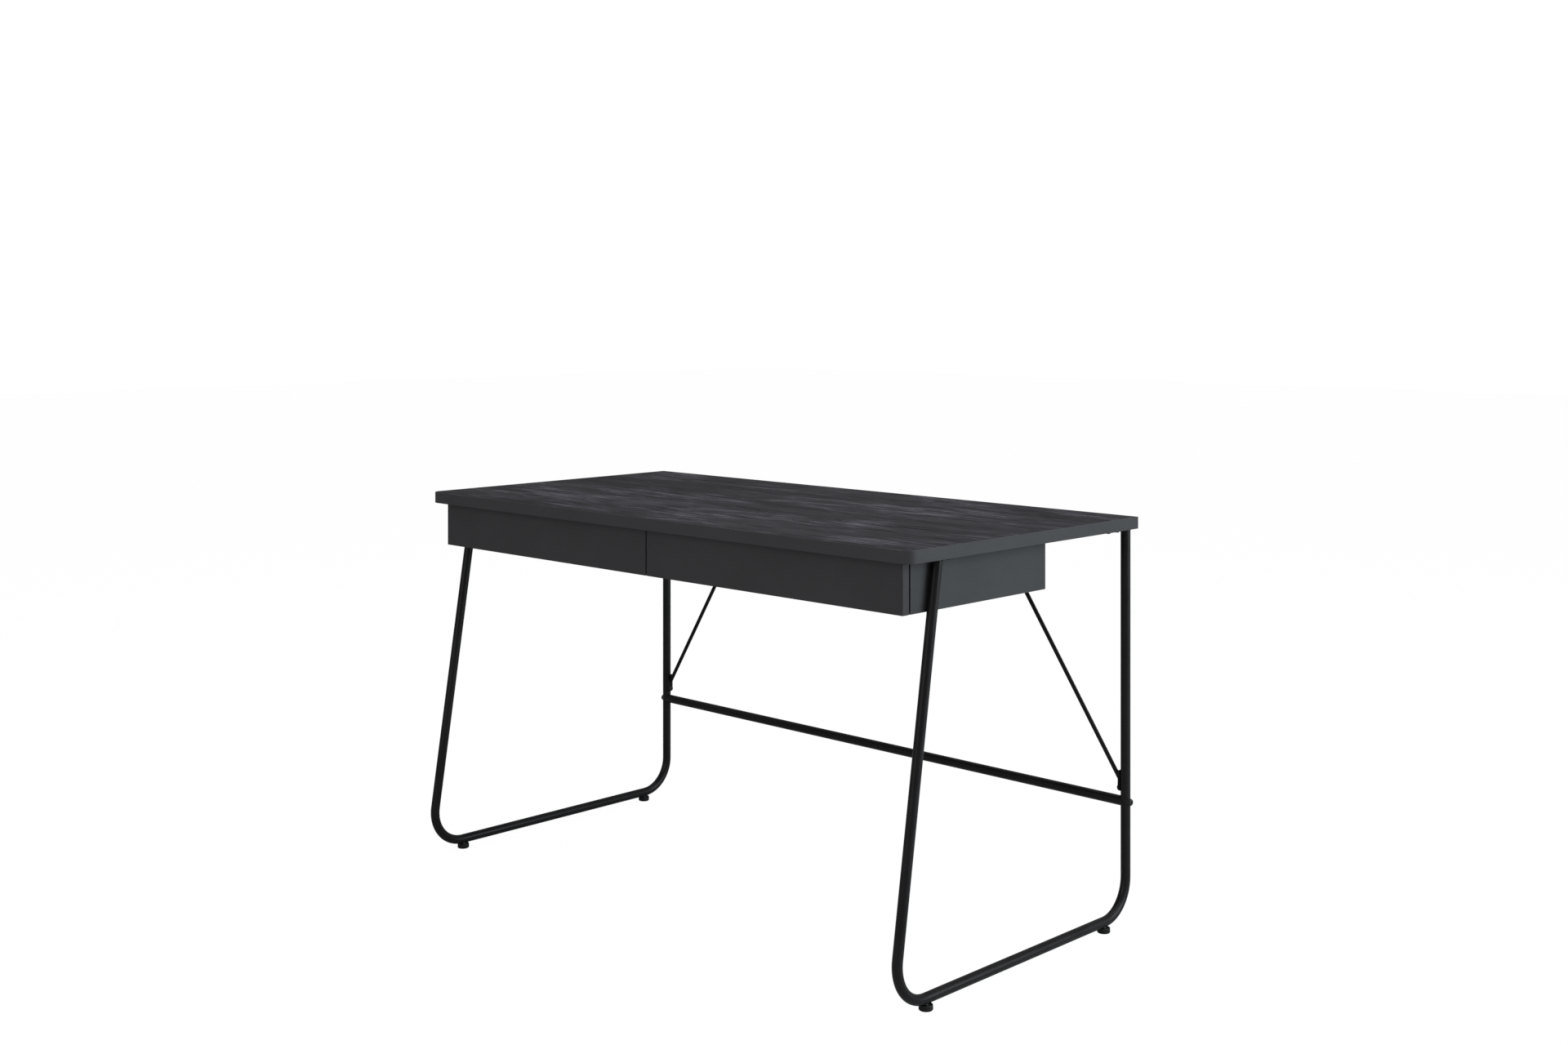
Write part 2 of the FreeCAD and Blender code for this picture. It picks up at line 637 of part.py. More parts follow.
def draw_frame_path(sketch):
    """Draw a leg frame's axis in the YZ plane: rear leg, bend, floor run, bend, front leg."""
    radius = size.bend_radius
    rise = floor_axis + radius
    start_angle = math.pi - lean
    rear_centre = Vector(rear_tangent_y, rise, 0)
    front_centre = Vector(front_tangent_y, rise, 0)
    leg_foot = front_centre + Vector(math.cos(start_angle), math.sin(start_angle), 0) * radius
    leg_foot.y = rise + radius * math.sin(lean)
    rear, rear_arc, run, front_arc, front = range(5)
    for shape in (
        Part.LineSegment(Vector(rear_leg_y, frame_top, 0), Vector(rear_leg_y, rise, 0)),
        Part.ArcOfCircle(Part.Circle(rear_centre, Z_AXIS, radius), -math.pi / 2, 0),
        Part.LineSegment(
            Vector(rear_tangent_y, floor_axis, 0), Vector(front_tangent_y, floor_axis, 0)
        ),
        Part.ArcOfCircle(Part.Circle(front_centre, Z_AXIS, radius), start_angle, 1.5 * math.pi),
        Part.LineSegment(leg_foot, Vector(front_leg_y, under_top, 0)),
    ):
        sketch.addGeometry(shape, False)
    for kind, where in (
        ("Tangent", (rear, 2, rear_arc, 2)),
        ("Tangent", (rear_arc, 1, run, 1)),
        ("Tangent", (run, 2, front_arc, 2)),
        ("Tangent", (front_arc, 1, front, 1)),
        ("Vertical", (rear,)),
        ("Horizontal", (run,)),
        ("Equal", (rear_arc, front_arc)),
    ):
        sketch.addConstraint(Sketcher.Constraint(kind, *where))
    dimension(sketch, "DistanceX", (-1, 1, rear, 1), rear_leg_y, "top_depth / 2 - rear_inset")
    dimension(sketch, "DistanceY", (-1, 1, rear, 1), frame_top,
              "desk_height - top_thickness - plate_thickness")
    dimension(sketch, "DistanceY", (-1, 1, run, 1), floor_axis, "tube_lift + tube_diameter / 2")
    dimension(sketch, "Radius", (rear_arc,), radius, "bend_radius")
    dimension(sketch, "DistanceX", (-1, 1, front, 2), front_leg_y, "front_inset - top_depth / 2")
    dimension(sketch, "DistanceY", (-1, 1, front, 2), under_top, "desk_height - top_thickness")
    dimension(sketch, "Angle", (front,), math.pi / 2 - lean, "90 deg - leg_lean * 1 deg")


def feet_y():
    """Return the Y of the front and the rear levelling foot."""
    return {"front": front_tangent_y + size.foot_inset, "rear": rear_tangent_y - size.foot_inset}


def make_leg_frame(side, sign):
    """Make a leg frame: one tube bent to the front leg, the floor run and the rear leg."""
    body = new_body(f"leg_frame_{side}")
    path = new_sketch(body, "path", "YZ_Plane")
    draw_frame_path(path)
    section = new_sketch(body, "section", "XY_Plane", frame_top)
    draw_circle(section, (0, rear_leg_y), "tube_diameter")
    draw_circle(section, (0, rear_leg_y), "tube_diameter - 2 * tube_wall")
    doc.recompute()
    tube = body.newObject("PartDesign::AdditivePipe", f"{body.Name}_tube")
    tube.Profile = section
    tube.Spine = path
    doc.recompute()

    trim = new_sketch(body, "trim", "XY_Plane", frame_top)
    draw_rectangle(trim, "2 * tube_diameter", "3 * tube_diameter", (0, front_leg_y))
    pocket(body, trim, "3 * plate_thickness", True)

    bar_hole = [(rear_leg_y, size.bar_level)]
    drill(body, "bar_hole", "YZ_Plane", -size.tube_diameter, bar_hole,
          "bolt_hole", "2 * tube_diameter", True)
    strut_hole = [(rear_leg_y, size.strut_bolt)]
    drill(body, "strut_hole", "YZ_Plane", -sign * size.tube_diameter, strut_hole,
          "insert_bore", "tube_diameter", sign == RIGHT)
    foot_holes = [(0, y) for y in feet_y().values()]
    drill(body, "foot_holes", "XY_Plane", 0, foot_holes,
          "insert_diameter", "tube_lift + tube_diameter / 2", True)
    put(body, sign * leg_spread)


def make_plates(side, sign):
    """Make the two mounting plates of a leg frame."""
    for end, middle, steps in leg_plates(sign):
        plate = board(f"leg_plate_{side}_{end}", "plate_width", "plate_length", "plate_thickness")
        round_edges(plate, "plate_corner", is_upright)
        holes = [(0, step) for step in steps]
        drill(plate, "screw_holes", "XY_Plane", 0, holes, "plate_hole", "plate_thickness", True)
        put(plate, middle.x, middle.y, frame_top)


def is_upright(edge):
    """Tell whether an edge of a mounting plate runs through its thickness."""
    return edge.BoundBox.ZLength > size.plate_thickness / 2


def top_screw(start):
    """Return a pan-head screw that points up, with a cross recess under its head."""
    radius = size.screw_diameter / 2
    length = size.plate_thickness + size.top_screw
    head_face = start - Z_AXIS * size.pan_height
    head = cylinder(size.pan_head / 2, size.pan_height, head_face, Z_AXIS)
    rim = [edge for edge in head.Edges if edge.BoundBox.ZMax < start.z - size.pan_height / 2]
    head = head.makeFillet(size.pan_height / 2, rim)
    reach = size.recess_length
    across = centred_box(head_face, reach, size.recess_width, 2 * size.recess_depth)
    along = centred_box(head_face, size.recess_width, reach, 2 * size.recess_depth)
    shank = cylinder(radius, length, start, Z_AXIS)
    return head.fuse(shank).cut(across.fuse(along)).removeSplitter()


def make_top_screws(side, sign):
    """Make the screws that hold a side's plates and strut under the top."""
    screws = [top_screw(Vector(x, y, frame_top)) for x, y in top_screw_places(sign)]
    put(feature(f"top_screws_{side}", Part.makeCompound(screws)))


# ---- crossbar ------------------------------------------------------------------------------

def leg_cylinder(sign):
    """Return a cylinder round a rear leg at the crossbar's height, with the fit's clearance."""
    start = Vector(sign * leg_spread, rear_leg_y, size.bar_level - size.tube_diameter)
    return cylinder(tube_radius + size.fit_gap, 2 * size.tube_diameter, start, Z_AXIS)


def make_crossbar():
    """Make the crossbar, its ends saddled round the rear legs."""
    along_x = Rotation(Z_AXIS, X_AXIS)
    start = Vector(-leg_spread, 0, 0)
    bar = primitive("Cylinder", "crossbar_rod", {
        "Radius": "tube_diameter / 2", "Height": "case_width + 2 * leg_gap + tube_diameter",
    }, start, along_x)
    bore = primitive("Cylinder", "crossbar_bore", {
        "Radius": "tube_diameter / 2 - tube_wall", "Height": "case_width + 2 * leg_gap + tube_diameter",
    }, start, along_x)
    saddles = [
        primitive("Cylinder", f"crossbar_saddle_{side}", {
            "Radius": "tube_diameter / 2 + fit_gap", "Height": "2 * tube_diameter",
        }, Vector(sign * leg_spread, 0, -size.tube_diameter))
        for side, sign in SIDES.items()
    ]
    put(cut("rear_crossbar", bar, [bore] + saddles), 0, rear_leg_y, size.bar_level)


def make_crossbar_fixings(side, sign):
    """Make the threaded plug in a crossbar's end, and the bolt through the leg into it."""
    outward = X_AXIS * sign
    turn = Rotation(Z_AXIS, outward * -1)
    plug = primitive("Cylinder", f"crossbar_plug_{side}_body", {
        "Radius": "tube_diameter / 2 - tube_wall - fit_gap", "Height": "plug_length",
    })
    thread = primitive("Cylinder", f"crossbar_plug_{side}_thread", {
        "Radius": "insert_bore / 2", "Height": "plug_length",
    })
    plug = cut(f"crossbar_plug_{side}", plug, [thread])
    put(plug, sign * (leg_spread - tube_radius), rear_leg_y, size.bar_level, turn)

    axis = Vector(sign * leg_spread, rear_leg_y, size.bar_level)
    seat = axis + outward * tube_radius
    skirt = tube_radius / 2
    head = button_head(seat, outward, size.bolt_head, size.bolt_height, skirt)
    head = head.cut(leg_cylinder(sign))
    shank_length = size.tube_diameter + size.plug_length - skirt
    shank = cylinder(size.bolt_diameter / 2, shank_length, seat, outward * -1)
    put(feature(f"crossbar_bolt_{side}", head.fuse(shank).removeSplitter()))


def button_head(seat, outward, diameter, height, skirt):
    """Return a bolt's button head with a hexagon socket; its skirt reaches below the seat."""
    start = seat - outward * skirt
    top = seat + outward * height
    head = cylinder(diameter / 2, skirt + height, start, outward)
    rim = [edge for edge in head.Edges if edge.CenterOfMass.distanceToPoint(top) < TOUCH]
    head = head.makeFillet(size.head_rounding, rim)
    radius = size.socket_flats / math.sqrt(3)
    points = [
        top + Vector(0, radius * math.cos(i * math.pi / 3), radius * math.sin(i * math.pi / 3))
        for i in range(7)
    ]
    socket = Part.Face(Part.makePolygon(points)).extrude(outward * -size.socket_depth)
    return head.cut(socket)


# ---- struts --------------------------------------------------------------------------------

def strut_tab(low_end, high_end, thin, hole):
    """Return a flat tab between two points: round at its low end, with a hole there."""
    along = (high_end - low_end).normalize()
    half = size.strut_tab / 2
    side = thin.cross(along).normalize() * half
    corners = [low_end + side, high_end + side, high_end - side, low_end - side, low_end + side]
    thickness = thin.Length
    plate = Part.Face(Part.makePolygon(corners)).extrude(thin)
    plate = plate.fuse(cylinder(half, thickness, low_end, thin)).removeSplitter()
    return plate.cut(cylinder(hole / 2, thickness, low_end, thin))


def make_strut(side, sign):
    """Make a strut: a rod from the rear leg to the top, welded to a flat tab at each end."""
    tab_face = leg_spread - tube_radius - size.tab_thickness
    low = Vector(leg_spread - size.strut_inset, rear_leg_y, size.strut_level)
    high = Vector(size.strut_reach, strut_high_y, under_top)
    axis = (high - low).normalize()
    spare = axis * size.tab_length
    start = low - spare
    rod = cylinder(size.strut_diameter / 2, start.distanceToPoint(high + spare), start, axis)
    room = Part.makeBox(tab_face, size.top_depth, frame_top)
    rod = rod.common(room)

    low_tab = strut_tab(
        Vector(tab_face, rear_leg_y, size.strut_bolt),
        Vector(tab_face, rear_leg_y, size.strut_bolt + size.tab_length),
        X_AXIS * size.tab_thickness, size.bolt_hole,
    )
    high_tab = strut_tab(
        Vector(strut_screw_x, strut_high_y, frame_top),
        Vector(strut_screw_x + size.tab_length, strut_high_y, frame_top),
        Z_AXIS * size.plate_thickness, size.plate_hole,
    )
    shape = rod.multiFuse([low_tab, high_tab]).removeSplitter()
    if sign == LEFT:
        shape = shape.mirror(Vector(), X_AXIS)
    put(feature(f"strut_{side}", shape))


def make_strut_bolt(side, sign):
    """Make the bolt that holds a strut's lower tab on the inner side of the rear leg."""
    inward = X_AXIS * -sign
    reach = tube_radius + size.tab_thickness
    seat = Vector(sign * (leg_spread - reach), rear_leg_y, size.strut_bolt)
    shank = cylinder(size.bolt_diameter / 2, reach, seat, inward * -1)
    head = button_head(seat, inward, size.tab_bolt_head, size.tab_bolt_height, 0)
    put(feature(f"strut_bolt_{side}", head.fuse(shank).removeSplitter()))


# ---- levelling feet ------------------------------------------------------------------------

def make_foot(side, sign, end, y):
    """Make a levelling foot, and the threaded insert that holds it in the leg frame."""
    pad_body = primitive("Cylinder", f"foot_{side}_{end}_insert_body", {
        "Radius": "insert_diameter / 2", "Height": "insert_top - foot_height",
    })
    bore = primitive("Cylinder", f"foot_{side}_{end}_insert_bore", {
        "Radius": "insert_bore / 2", "Height": "insert_top",
    })
    insert = cut(f"foot_insert_{side}_{end}", pad_body, [bore])
    put(insert, sign * leg_spread, y, size.foot_height)

    body = new_body(f"foot_{side}_{end}")
    outline = new_sketch(body, "outline")
    draw_circle(outline, (0, 0), "foot_diameter")
    pad(body, outline, "foot_height")
    round_edges(body, "foot_edge", lambda edge: edge.BoundBox.ZMax < TOUCH)
    stem = new_sketch(body, "stem", "XY_Plane", size.foot_height)
    draw_circle(stem, (0, 0), "bolt_diameter")
    pad(body, stem, "stem_top - foot_height")
    put(body, sign * leg_spread, y)


# ---- the whole desk ------------------------------------------------------------------------

def check_document():
    """Stop if any object failed, or if any node isn't whole."""
    doc.recompute()
    for item in doc.Objects:
        if {"Invalid", "Error"} & set(item.State):
            raise RuntimeError(f"{item.Name} failed: {item.State}")
    for node in nodes:
        if node.Shape.isNull() or not node.Shape.isValid() or not node.Shape.Solids:
            raise RuntimeError(f"{node.Label} has no valid solid")


def write_parts():
    """Write each node to its own STEP file."""
    os.makedirs("parts", exist_ok=True)
    for node in nodes:
        node.Shape.exportStep(f"parts/{node.Label}.step")


def make_desk():
    """Make every sub-part of the desk."""
    make_top()
    make_case()
    for name, sign in SIDES.items():
        make_drawer(name, sign)
        for side, hand in SIDES.items():
            make_runner(name, sign, side, hand)
        make_rail_screws(name, sign)
    make_crossbar()
    for side, sign in SIDES.items():
        make_leg_frame(side, sign)
        make_plates(side, sign)
        make_top_screws(side, sign)
        make_crossbar_fixings(side, sign)
        make_strut(side, sign)
        make_strut_bolt(side, sign)
        for end, y in feet_y().items():
            make_foot(side, sign, end, y)
    check_document()
    write_parts()


make_desk()
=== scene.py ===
"""Finishes, fittings and studio for a writing desk with two drawers.

The desk's boards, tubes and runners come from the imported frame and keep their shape.
Weld beads, bolts, levelling feet and rubber buffers are built here.  Lengths are in metres.
"""
import math

import bmesh
import bpy
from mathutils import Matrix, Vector


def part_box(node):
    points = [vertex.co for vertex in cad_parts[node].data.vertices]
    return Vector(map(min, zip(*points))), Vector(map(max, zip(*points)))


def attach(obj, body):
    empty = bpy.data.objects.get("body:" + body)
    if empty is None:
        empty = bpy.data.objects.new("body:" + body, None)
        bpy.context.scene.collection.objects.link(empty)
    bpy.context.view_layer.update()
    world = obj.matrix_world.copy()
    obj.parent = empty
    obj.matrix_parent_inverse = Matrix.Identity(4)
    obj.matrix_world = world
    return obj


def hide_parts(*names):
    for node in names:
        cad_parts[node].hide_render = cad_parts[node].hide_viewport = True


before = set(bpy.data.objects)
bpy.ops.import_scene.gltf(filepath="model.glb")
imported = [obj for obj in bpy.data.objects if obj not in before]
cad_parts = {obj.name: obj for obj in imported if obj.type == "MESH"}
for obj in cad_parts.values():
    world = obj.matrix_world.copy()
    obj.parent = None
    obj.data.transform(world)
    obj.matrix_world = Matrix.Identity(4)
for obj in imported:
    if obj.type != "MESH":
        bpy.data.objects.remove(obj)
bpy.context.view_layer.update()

bl_info = {
    "name": "Writing Desk Finishes",
    "version": (1, 0, 0),
    "blender": (4, 5, 0),
    "location": "3D View > Sidebar > Desk",
    "description": "Finishes, fittings and studio for a writing desk with two drawers",
    "category": "Object",
}

SIDES = {"left": -1, "right": 1}
ENDS = ("front", "rear")
MM = 0.001
AROUND = 48                # points round a bolt, a foot or a buffer
ARC_STEPS = 8              # points along the dome of a head or a buffer
EDGE_STEPS = 7             # points along a rounded edge of a foot
SHARP = math.radians(38)   # edges that turn more than this are shaded sharp
BUFFER_GAP = 3 * MM        # less than the gap between two buffers
BEAD_AROUND = 10           # points round a weld bead
BEAD_STEPS = 6             # rings of a bead to each ripple
BEAD_VALLEY = 0.80         # radius between two ripples, as a share of the crest's
BEAD_TIP = 0.4 * MM        # how blunt a bead's ends are
THREAD_STEPS = 8           # rings of a thread to each turn
THREAD_POINT = 0.7 * MM    # how much slimmer a stem is at its tip
HEAD_SKIRT = 0.30          # share of a bolt head's height below its dome
KNOTS_ACROSS = 6.5         # knots per metre across the grain
DRAWN = (1.0, 0.06, 1.0)   # texture of rolled sheet, drawn out along Y
# Arcs of the beads round a tube's end, in degrees from across the desk to along the leg frame.
FRONT_BEADS = ((35, 145), (215, 325))
REAR_BEADS = ((215, 325),)
X_AXIS = Vector((1, 0, 0))
Y_AXIS = Vector((0, 1, 0))
Z_AXIS = Vector((0, 0, 1))

slot_nodes = {}
for cad_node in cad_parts.values():
    slot_nodes.setdefault(cad_node.material_slots[0].material.name, []).append(cad_node)


# ---- settings ------------------------------------------------------------------------------

def colour(name, description, default):
    """Return a colour property, linear red, green and blue."""
    return bpy.props.FloatVectorProperty(
        name=name, description=description, default=default, subtype="COLOR", size=3, min=0, max=1,
    )


def length(name, description, millimetres):
    """Return a length property, its default given in millimetres."""
    return bpy.props.FloatProperty(
        name=name, description=description, default=millimetres * MM, min=0, unit="LENGTH",
        precision=5,
    )


def share(name, description, default):
    """Return a property from 0 to 1."""
    return bpy.props.FloatProperty(
        name=name, description=description, default=default, min=0, max=1, subtype="FACTOR",
    )


def amount(name, description, default, unit="NONE"):
    """Return a property for a number that isn't negative."""
    return bpy.props.FloatProperty(
        name=name, description=description, default=default, min=0, unit=unit,
    )


def spot(name, description, default):
    """Return a property for a place in the room."""
    return bpy.props.FloatVectorProperty(
        name=name, description=description, default=default, size=3, unit="LENGTH", subtype="XYZ",
    )


class DeskFinishes(bpy.types.PropertyGroup):
    """Colours and wear of the desk's finishes."""
    oak_dark: colour("Oak, dark", "Dark figure of the black oak laminate", (0.010, 0.010, 0.011))
    oak_mid: colour("Oak, middle", "Body of the black oak laminate", (0.030, 0.0295, 0.033))
    oak_pale: colour("Oak, pale", "Pale fibres of the laminate", (0.148, 0.144, 0.172))
    oak_pore: colour("Oak pores", "Open pores and knots", (0.005, 0.005, 0.006))
    band: colour("Edge band", "Edge band round the top", (0.040, 0.0397, 0.043))
    front: colour("Drawer fronts", "Melamine of the drawer fronts", (0.037, 0.036, 0.039))
    case: colour("Case", "Melamine of the case", (0.037, 0.0375, 0.040))
    inner: colour("Drawer boxes", "Boards inside the drawers", (0.045, 0.045, 0.048))
    coat: colour("Powder coat", "Legs, crossbar, plates and struts", (0.0095, 0.0088, 0.0096))
    oxide: colour("Black oxide", "Bolts", (0.020, 0.020, 0.021))
    zinc: colour("Zinc", "Runners, screws and inserts", (0.34, 0.34, 0.35))
    bright: colour("Bright steel", "Ball cages", (0.50, 0.50, 0.51))
    rubber: colour("Rubber", "Buffers behind the drawer fronts", (0.022, 0.022, 0.022))
    plastic: colour("Foot plastic", "Pads of the levelling feet", (0.007, 0.007, 0.0073))
    dust: colour("Dust", "Fine dust on faces that look up", (0.20, 0.19, 0.18))
    edge_wear: share("Edge wear", "How pale the rubbed edges are", 0.35)
    dust_cover: share("Dust cover", "Most dust that a face holds", 0.03)


class DeskFittings(bpy.types.PropertyGroup):
    """Sizes of the small fittings."""
    washer: length("Washer", "Thickness of the crossbar bolts' washers over the tube", 1.1)
    strut_head: length("Strut bolt head", "Height of the struts' bolt heads", 3.3)
    shank: length("Shank", "Radius of the bolts' shanks and the feet's stems", 3)
    socket: length("Socket", "Middle of a hexagon socket to its flats", 2)
    socket_depth: length("Socket depth", "Depth of the hexagon sockets", 2)
    thread_pitch: length("Thread pitch", "Pitch of the feet's stems", 1)
    thread_depth: length("Thread depth", "Depth of the feet's threads", 0.5)
    pad_height: length("Pad height", "Height of a levelling foot's pad", 9.7)
    pad_edge: length("Pad edge", "Rounding under a levelling foot", 2.5)
    groove: length("Pad groove", "Groove between a foot's body and its sole", 0.35)
    weld: length("Weld bead", "Radius of the weld beads", 1.3)
    weld_ripple: length("Weld ripple", "Distance between the ripples of a bead", 1.6)
    rod: length("Strut rod", "Radius of the struts' rods", 4)
    rod_inset: length("Rod inset", "Rear leg's axis inwards to a rod's lower end", 23)
    rod_level: length("Rod level", "Floor to a rod's lower end", 280)
    rod_reach: length("Rod reach", "Middle of the desk to a rod's upper end", 316)
    rod_forward: length("Rod forward", "Rear leg's axis forwards to a rod's upper end", 10)
    buffer_dome: length("Buffer dome", "Height of the domed end of a buffer", 1.2)
    front_lean: bpy.props.FloatProperty(
        name="Front leg lean", description="Lean of the front legs from the vertical",
        default=math.radians(9), subtype="ANGLE",
    )


class DeskStudio(bpy.types.PropertyGroup):
    """Camera, lamps and floor."""
    camera_place: spot("Camera", "Place of the camera", (2.51499, -2.52450, 1.14620))
    camera_turn: bpy.props.FloatProperty(
        name="Turn", description="Turn of the level camera about the vertical",
        default=0.77053, subtype="ANGLE",
    )
    lens: amount("Lens", "Focal length on a 36 mm wide frame", 41.81, "CAMERA")
    shift: bpy.props.FloatProperty(
        name="Shift", description="Vertical lens shift, as a share of the frame's width",
        default=-0.14115,
    )
    clip_end: amount("Far limit", "How far the camera sees", 100, "LENGTH")
    ambient: amount("Ambient", "Strength of the light from all round", 0.28)
    backdrop: amount("Backdrop", "Brightness of the backdrop", 1.06)
    key: amount("Key lamp", "Large soft lamp to the right and behind", 92, "POWER")
    key_tint: colour("Key tint", "Colour of the key lamp's light", (0.86, 0.96, 1.0))
    key_place: spot("Key place", "Place of the key lamp", (3.4, 1.5, 1.5))
    key_size: amount("Key size", "Side of the key lamp", 2.4, "LENGTH")
    overhead: amount("Overhead lamp", "Large soft lamp over the desk", 45, "POWER")
    overhead_place: spot("Overhead place", "Place of the overhead lamp", (0.5, 0.2, 3.2))
    overhead_size: amount("Overhead size", "Side of the overhead lamp", 3, "LENGTH")
    fill: amount("Fill lamp", "Soft lamp in front", 40, "POWER")
    fill_place: spot("Fill place", "Place of the fill lamp", (0.2, -4.2, 1.9))
    fill_size: amount("Fill size", "Side of the fill lamp", 3, "LENGTH")
    aim: spot("Aim", "Where the lamps point", (0, 0, 0.45))
    floor: colour("Floor", "Plain pale floor", (0.62, 0.62, 0.62))
    floor_glow: share("Floor evenness", "How far the floor's shading is evened out", 0.92)
    floor_size: amount("Floor size", "Side of the floor", 40, "LENGTH")


# ---- shader nodes --------------------------------------------------------------------------

def add(tree, kind, inputs=(), **settings):
    """Add a node: its settings, then its inputs as values or as the sockets that feed them."""
    made = tree.nodes.new("ShaderNode" + kind)
    for name, value in settings.items():
        setattr(made, name, value)
    for key, value in dict(inputs).items():
        if isinstance(value, bpy.types.NodeSocket):
            tree.links.new(value, made.inputs[key])
        else:
            made.inputs[key].default_value = value
    return made


def maths(tree, operation, first, second=0.0, third=0.0):
    """Return a Math node's result."""
    return add(tree, "Math", {0: first, 1: second, 2: third}, operation=operation).outputs[0]


def ramp(tree, value, low, high, to_low=0.0, to_high=1.0):
    """Return a value eased between two limits."""
    limits = {"From Min": low, "From Max": high, "To Min": to_low, "To Max": to_high}
    inputs = {"Value": value, **limits}
    return add(tree, "MapRange", inputs, interpolation_type="SMOOTHSTEP").outputs[0]


def mix(tree, factor, first, second):
    """Return a mix of two colours, each a socket or linear red, green and blue."""
    inputs = {0: factor}
    for index, value in ((6, first), (7, second)):
        inputs[index] = value if isinstance(value, bpy.types.NodeSocket) else (*value, 1)
    return add(tree, "Mix", inputs, data_type="RGBA").outputs[2]


def stretch(tree, place, scale):
    """Return a place scaled by its own amount along each axis."""
    return add(tree, "VectorMath", {0: place, 1: scale}, operation="MULTIPLY").outputs[0]


def noise(tree, place, scale=1.0, detail=2.0, roughness=0.5):
    """Return noise from 0 to 1 at a place."""
    inputs = {"Vector": place, "Scale": scale, "Detail": detail, "Roughness": roughness}
    return add(tree, "TexNoise", inputs).outputs[0]


def new_group(name, inputs, outputs):
    """Return a shader group with named sockets, and its input and output nodes."""
    group = bpy.data.node_groups.new(name, "ShaderNodeTree")
    for label, kind, value in inputs:
        socket = group.interface.new_socket(
            label, in_out="INPUT", socket_type="NodeSocket" + kind,
        )
        socket.default_value = value
    for label, kind in outputs:
        group.interface.new_socket(label, in_out="OUTPUT", socket_type="NodeSocket" + kind)
    return group, group.nodes.new("NodeGroupInput"), group.nodes.new("NodeGroupOutput")


def deliver(group, end, results):
    """Feed a group's outputs."""
    for label, socket in results.items():
        group.links.new(socket, end.inputs[label])
    return group


def make_fine_texture(name):
    """Make soft clouds of tone over a fine moulded or pressed relief."""
    group, start, end = new_group(
        name,
        [("Place", "Vector", (0, 0, 0)), ("Stretch", "Vector", (1, 1, 1)),
         ("Grain", "Float", 900.0), ("Cloud", "Float", 12.0)],
        [("Tone", "Float"), ("Speckle", "Float"), ("Height", "Float")],
    )
    place = stretch(group, start.outputs["Place"], start.outputs["Stretch"])
    clouds = noise(group, place, start.outputs["Cloud"], 3.0, 0.55)
    speckle = noise(group, place, start.outputs["Grain"], 2.0, 0.6)
    coarse = noise(group, place, maths(group, "MULTIPLY", start.outputs["Grain"], 0.31), 1.0)
    height = maths(group, "MULTIPLY_ADD", coarse, 0.6, maths(group, "MULTIPLY", speckle, 0.4))
    return deliver(group, end, {
        "Tone": ramp(group, clouds, 0.3, 0.7),
        "Speckle": ramp(group, speckle, 0.35, 0.65),
        "Height": height,
    })


def make_edge_wear(name):
    """Make rounded edges and the rubbed, broken line along them."""
    group, start, end = new_group(
        name,
        [("Place", "Vector", (0, 0, 0)), ("Rounding", "Float", 0.0006), ("Patches", "Float", 40.0)],
        [("Wear", "Float"), ("Normal", "Vector")],
    )
    rounded = add(group, "Bevel", {"Radius": start.outputs["Rounding"]}, samples=4).outputs[0]
    face = add(group, "NewGeometry").outputs["Normal"]
    facing = add(group, "VectorMath", {0: rounded, 1: face}, operation="DOT_PRODUCT").outputs[1]
    turned = ramp(group, facing, 0.995, 0.80)
    patches = noise(group, start.outputs["Place"], start.outputs["Patches"], 4.0, 0.65)
    wear = maths(group, "MULTIPLY", turned, ramp(group, patches, 0.42, 0.66))
    return deliver(group, end, {"Wear": wear, "Normal": rounded})


def make_dust(name):
    """Make thin uneven dust on faces that look up, and handling marks all over."""
    group, start, end = new_group(
        name,
        [("Place", "Vector", (0, 0, 0)), ("Specks", "Float", 700.0), ("Marks", "Float", 7.0)],
        [("Dust", "Float"), ("Marks", "Float")],
    )
    place = start.outputs["Place"]
    up = add(group, "SeparateXYZ", {0: add(group, "NewGeometry").outputs["Normal"]}).outputs[2]
    film = ramp(group, noise(group, place, 9.0, 4.0, 0.6), 0.35, 0.75)
    specks = ramp(group, noise(group, place, start.outputs["Specks"], 1.0), 0.66, 0.74)
    laid = maths(group, "MULTIPLY_ADD", film, 0.6, maths(group, "MULTIPLY", specks, 0.5))
    smears = stretch(group, place, (1.0, 1.0, 2.2))
    marks = noise(group, smears, start.outputs["Marks"], 5.0, 0.62)
    return deliver(group, end, {
        "Dust": maths(group, "MULTIPLY", laid, ramp(group, up, 0.3, 0.9)),
        "Marks": ramp(group, marks, 0.40, 0.72),
    })


def grain_noise(tree, place, along, across, detail=2.0, roughness=0.5):
    """Return noise with this many features to the metre along X and across it."""
    return noise(tree, stretch(tree, place, (along, across, across)), 1.0, detail, roughness)


def centred(tree, value, size):
    """Return noise moved to lie about nought, and scaled to a size."""
    return maths(tree, "MULTIPLY", maths(tree, "SUBTRACT", value, 0.5), size)


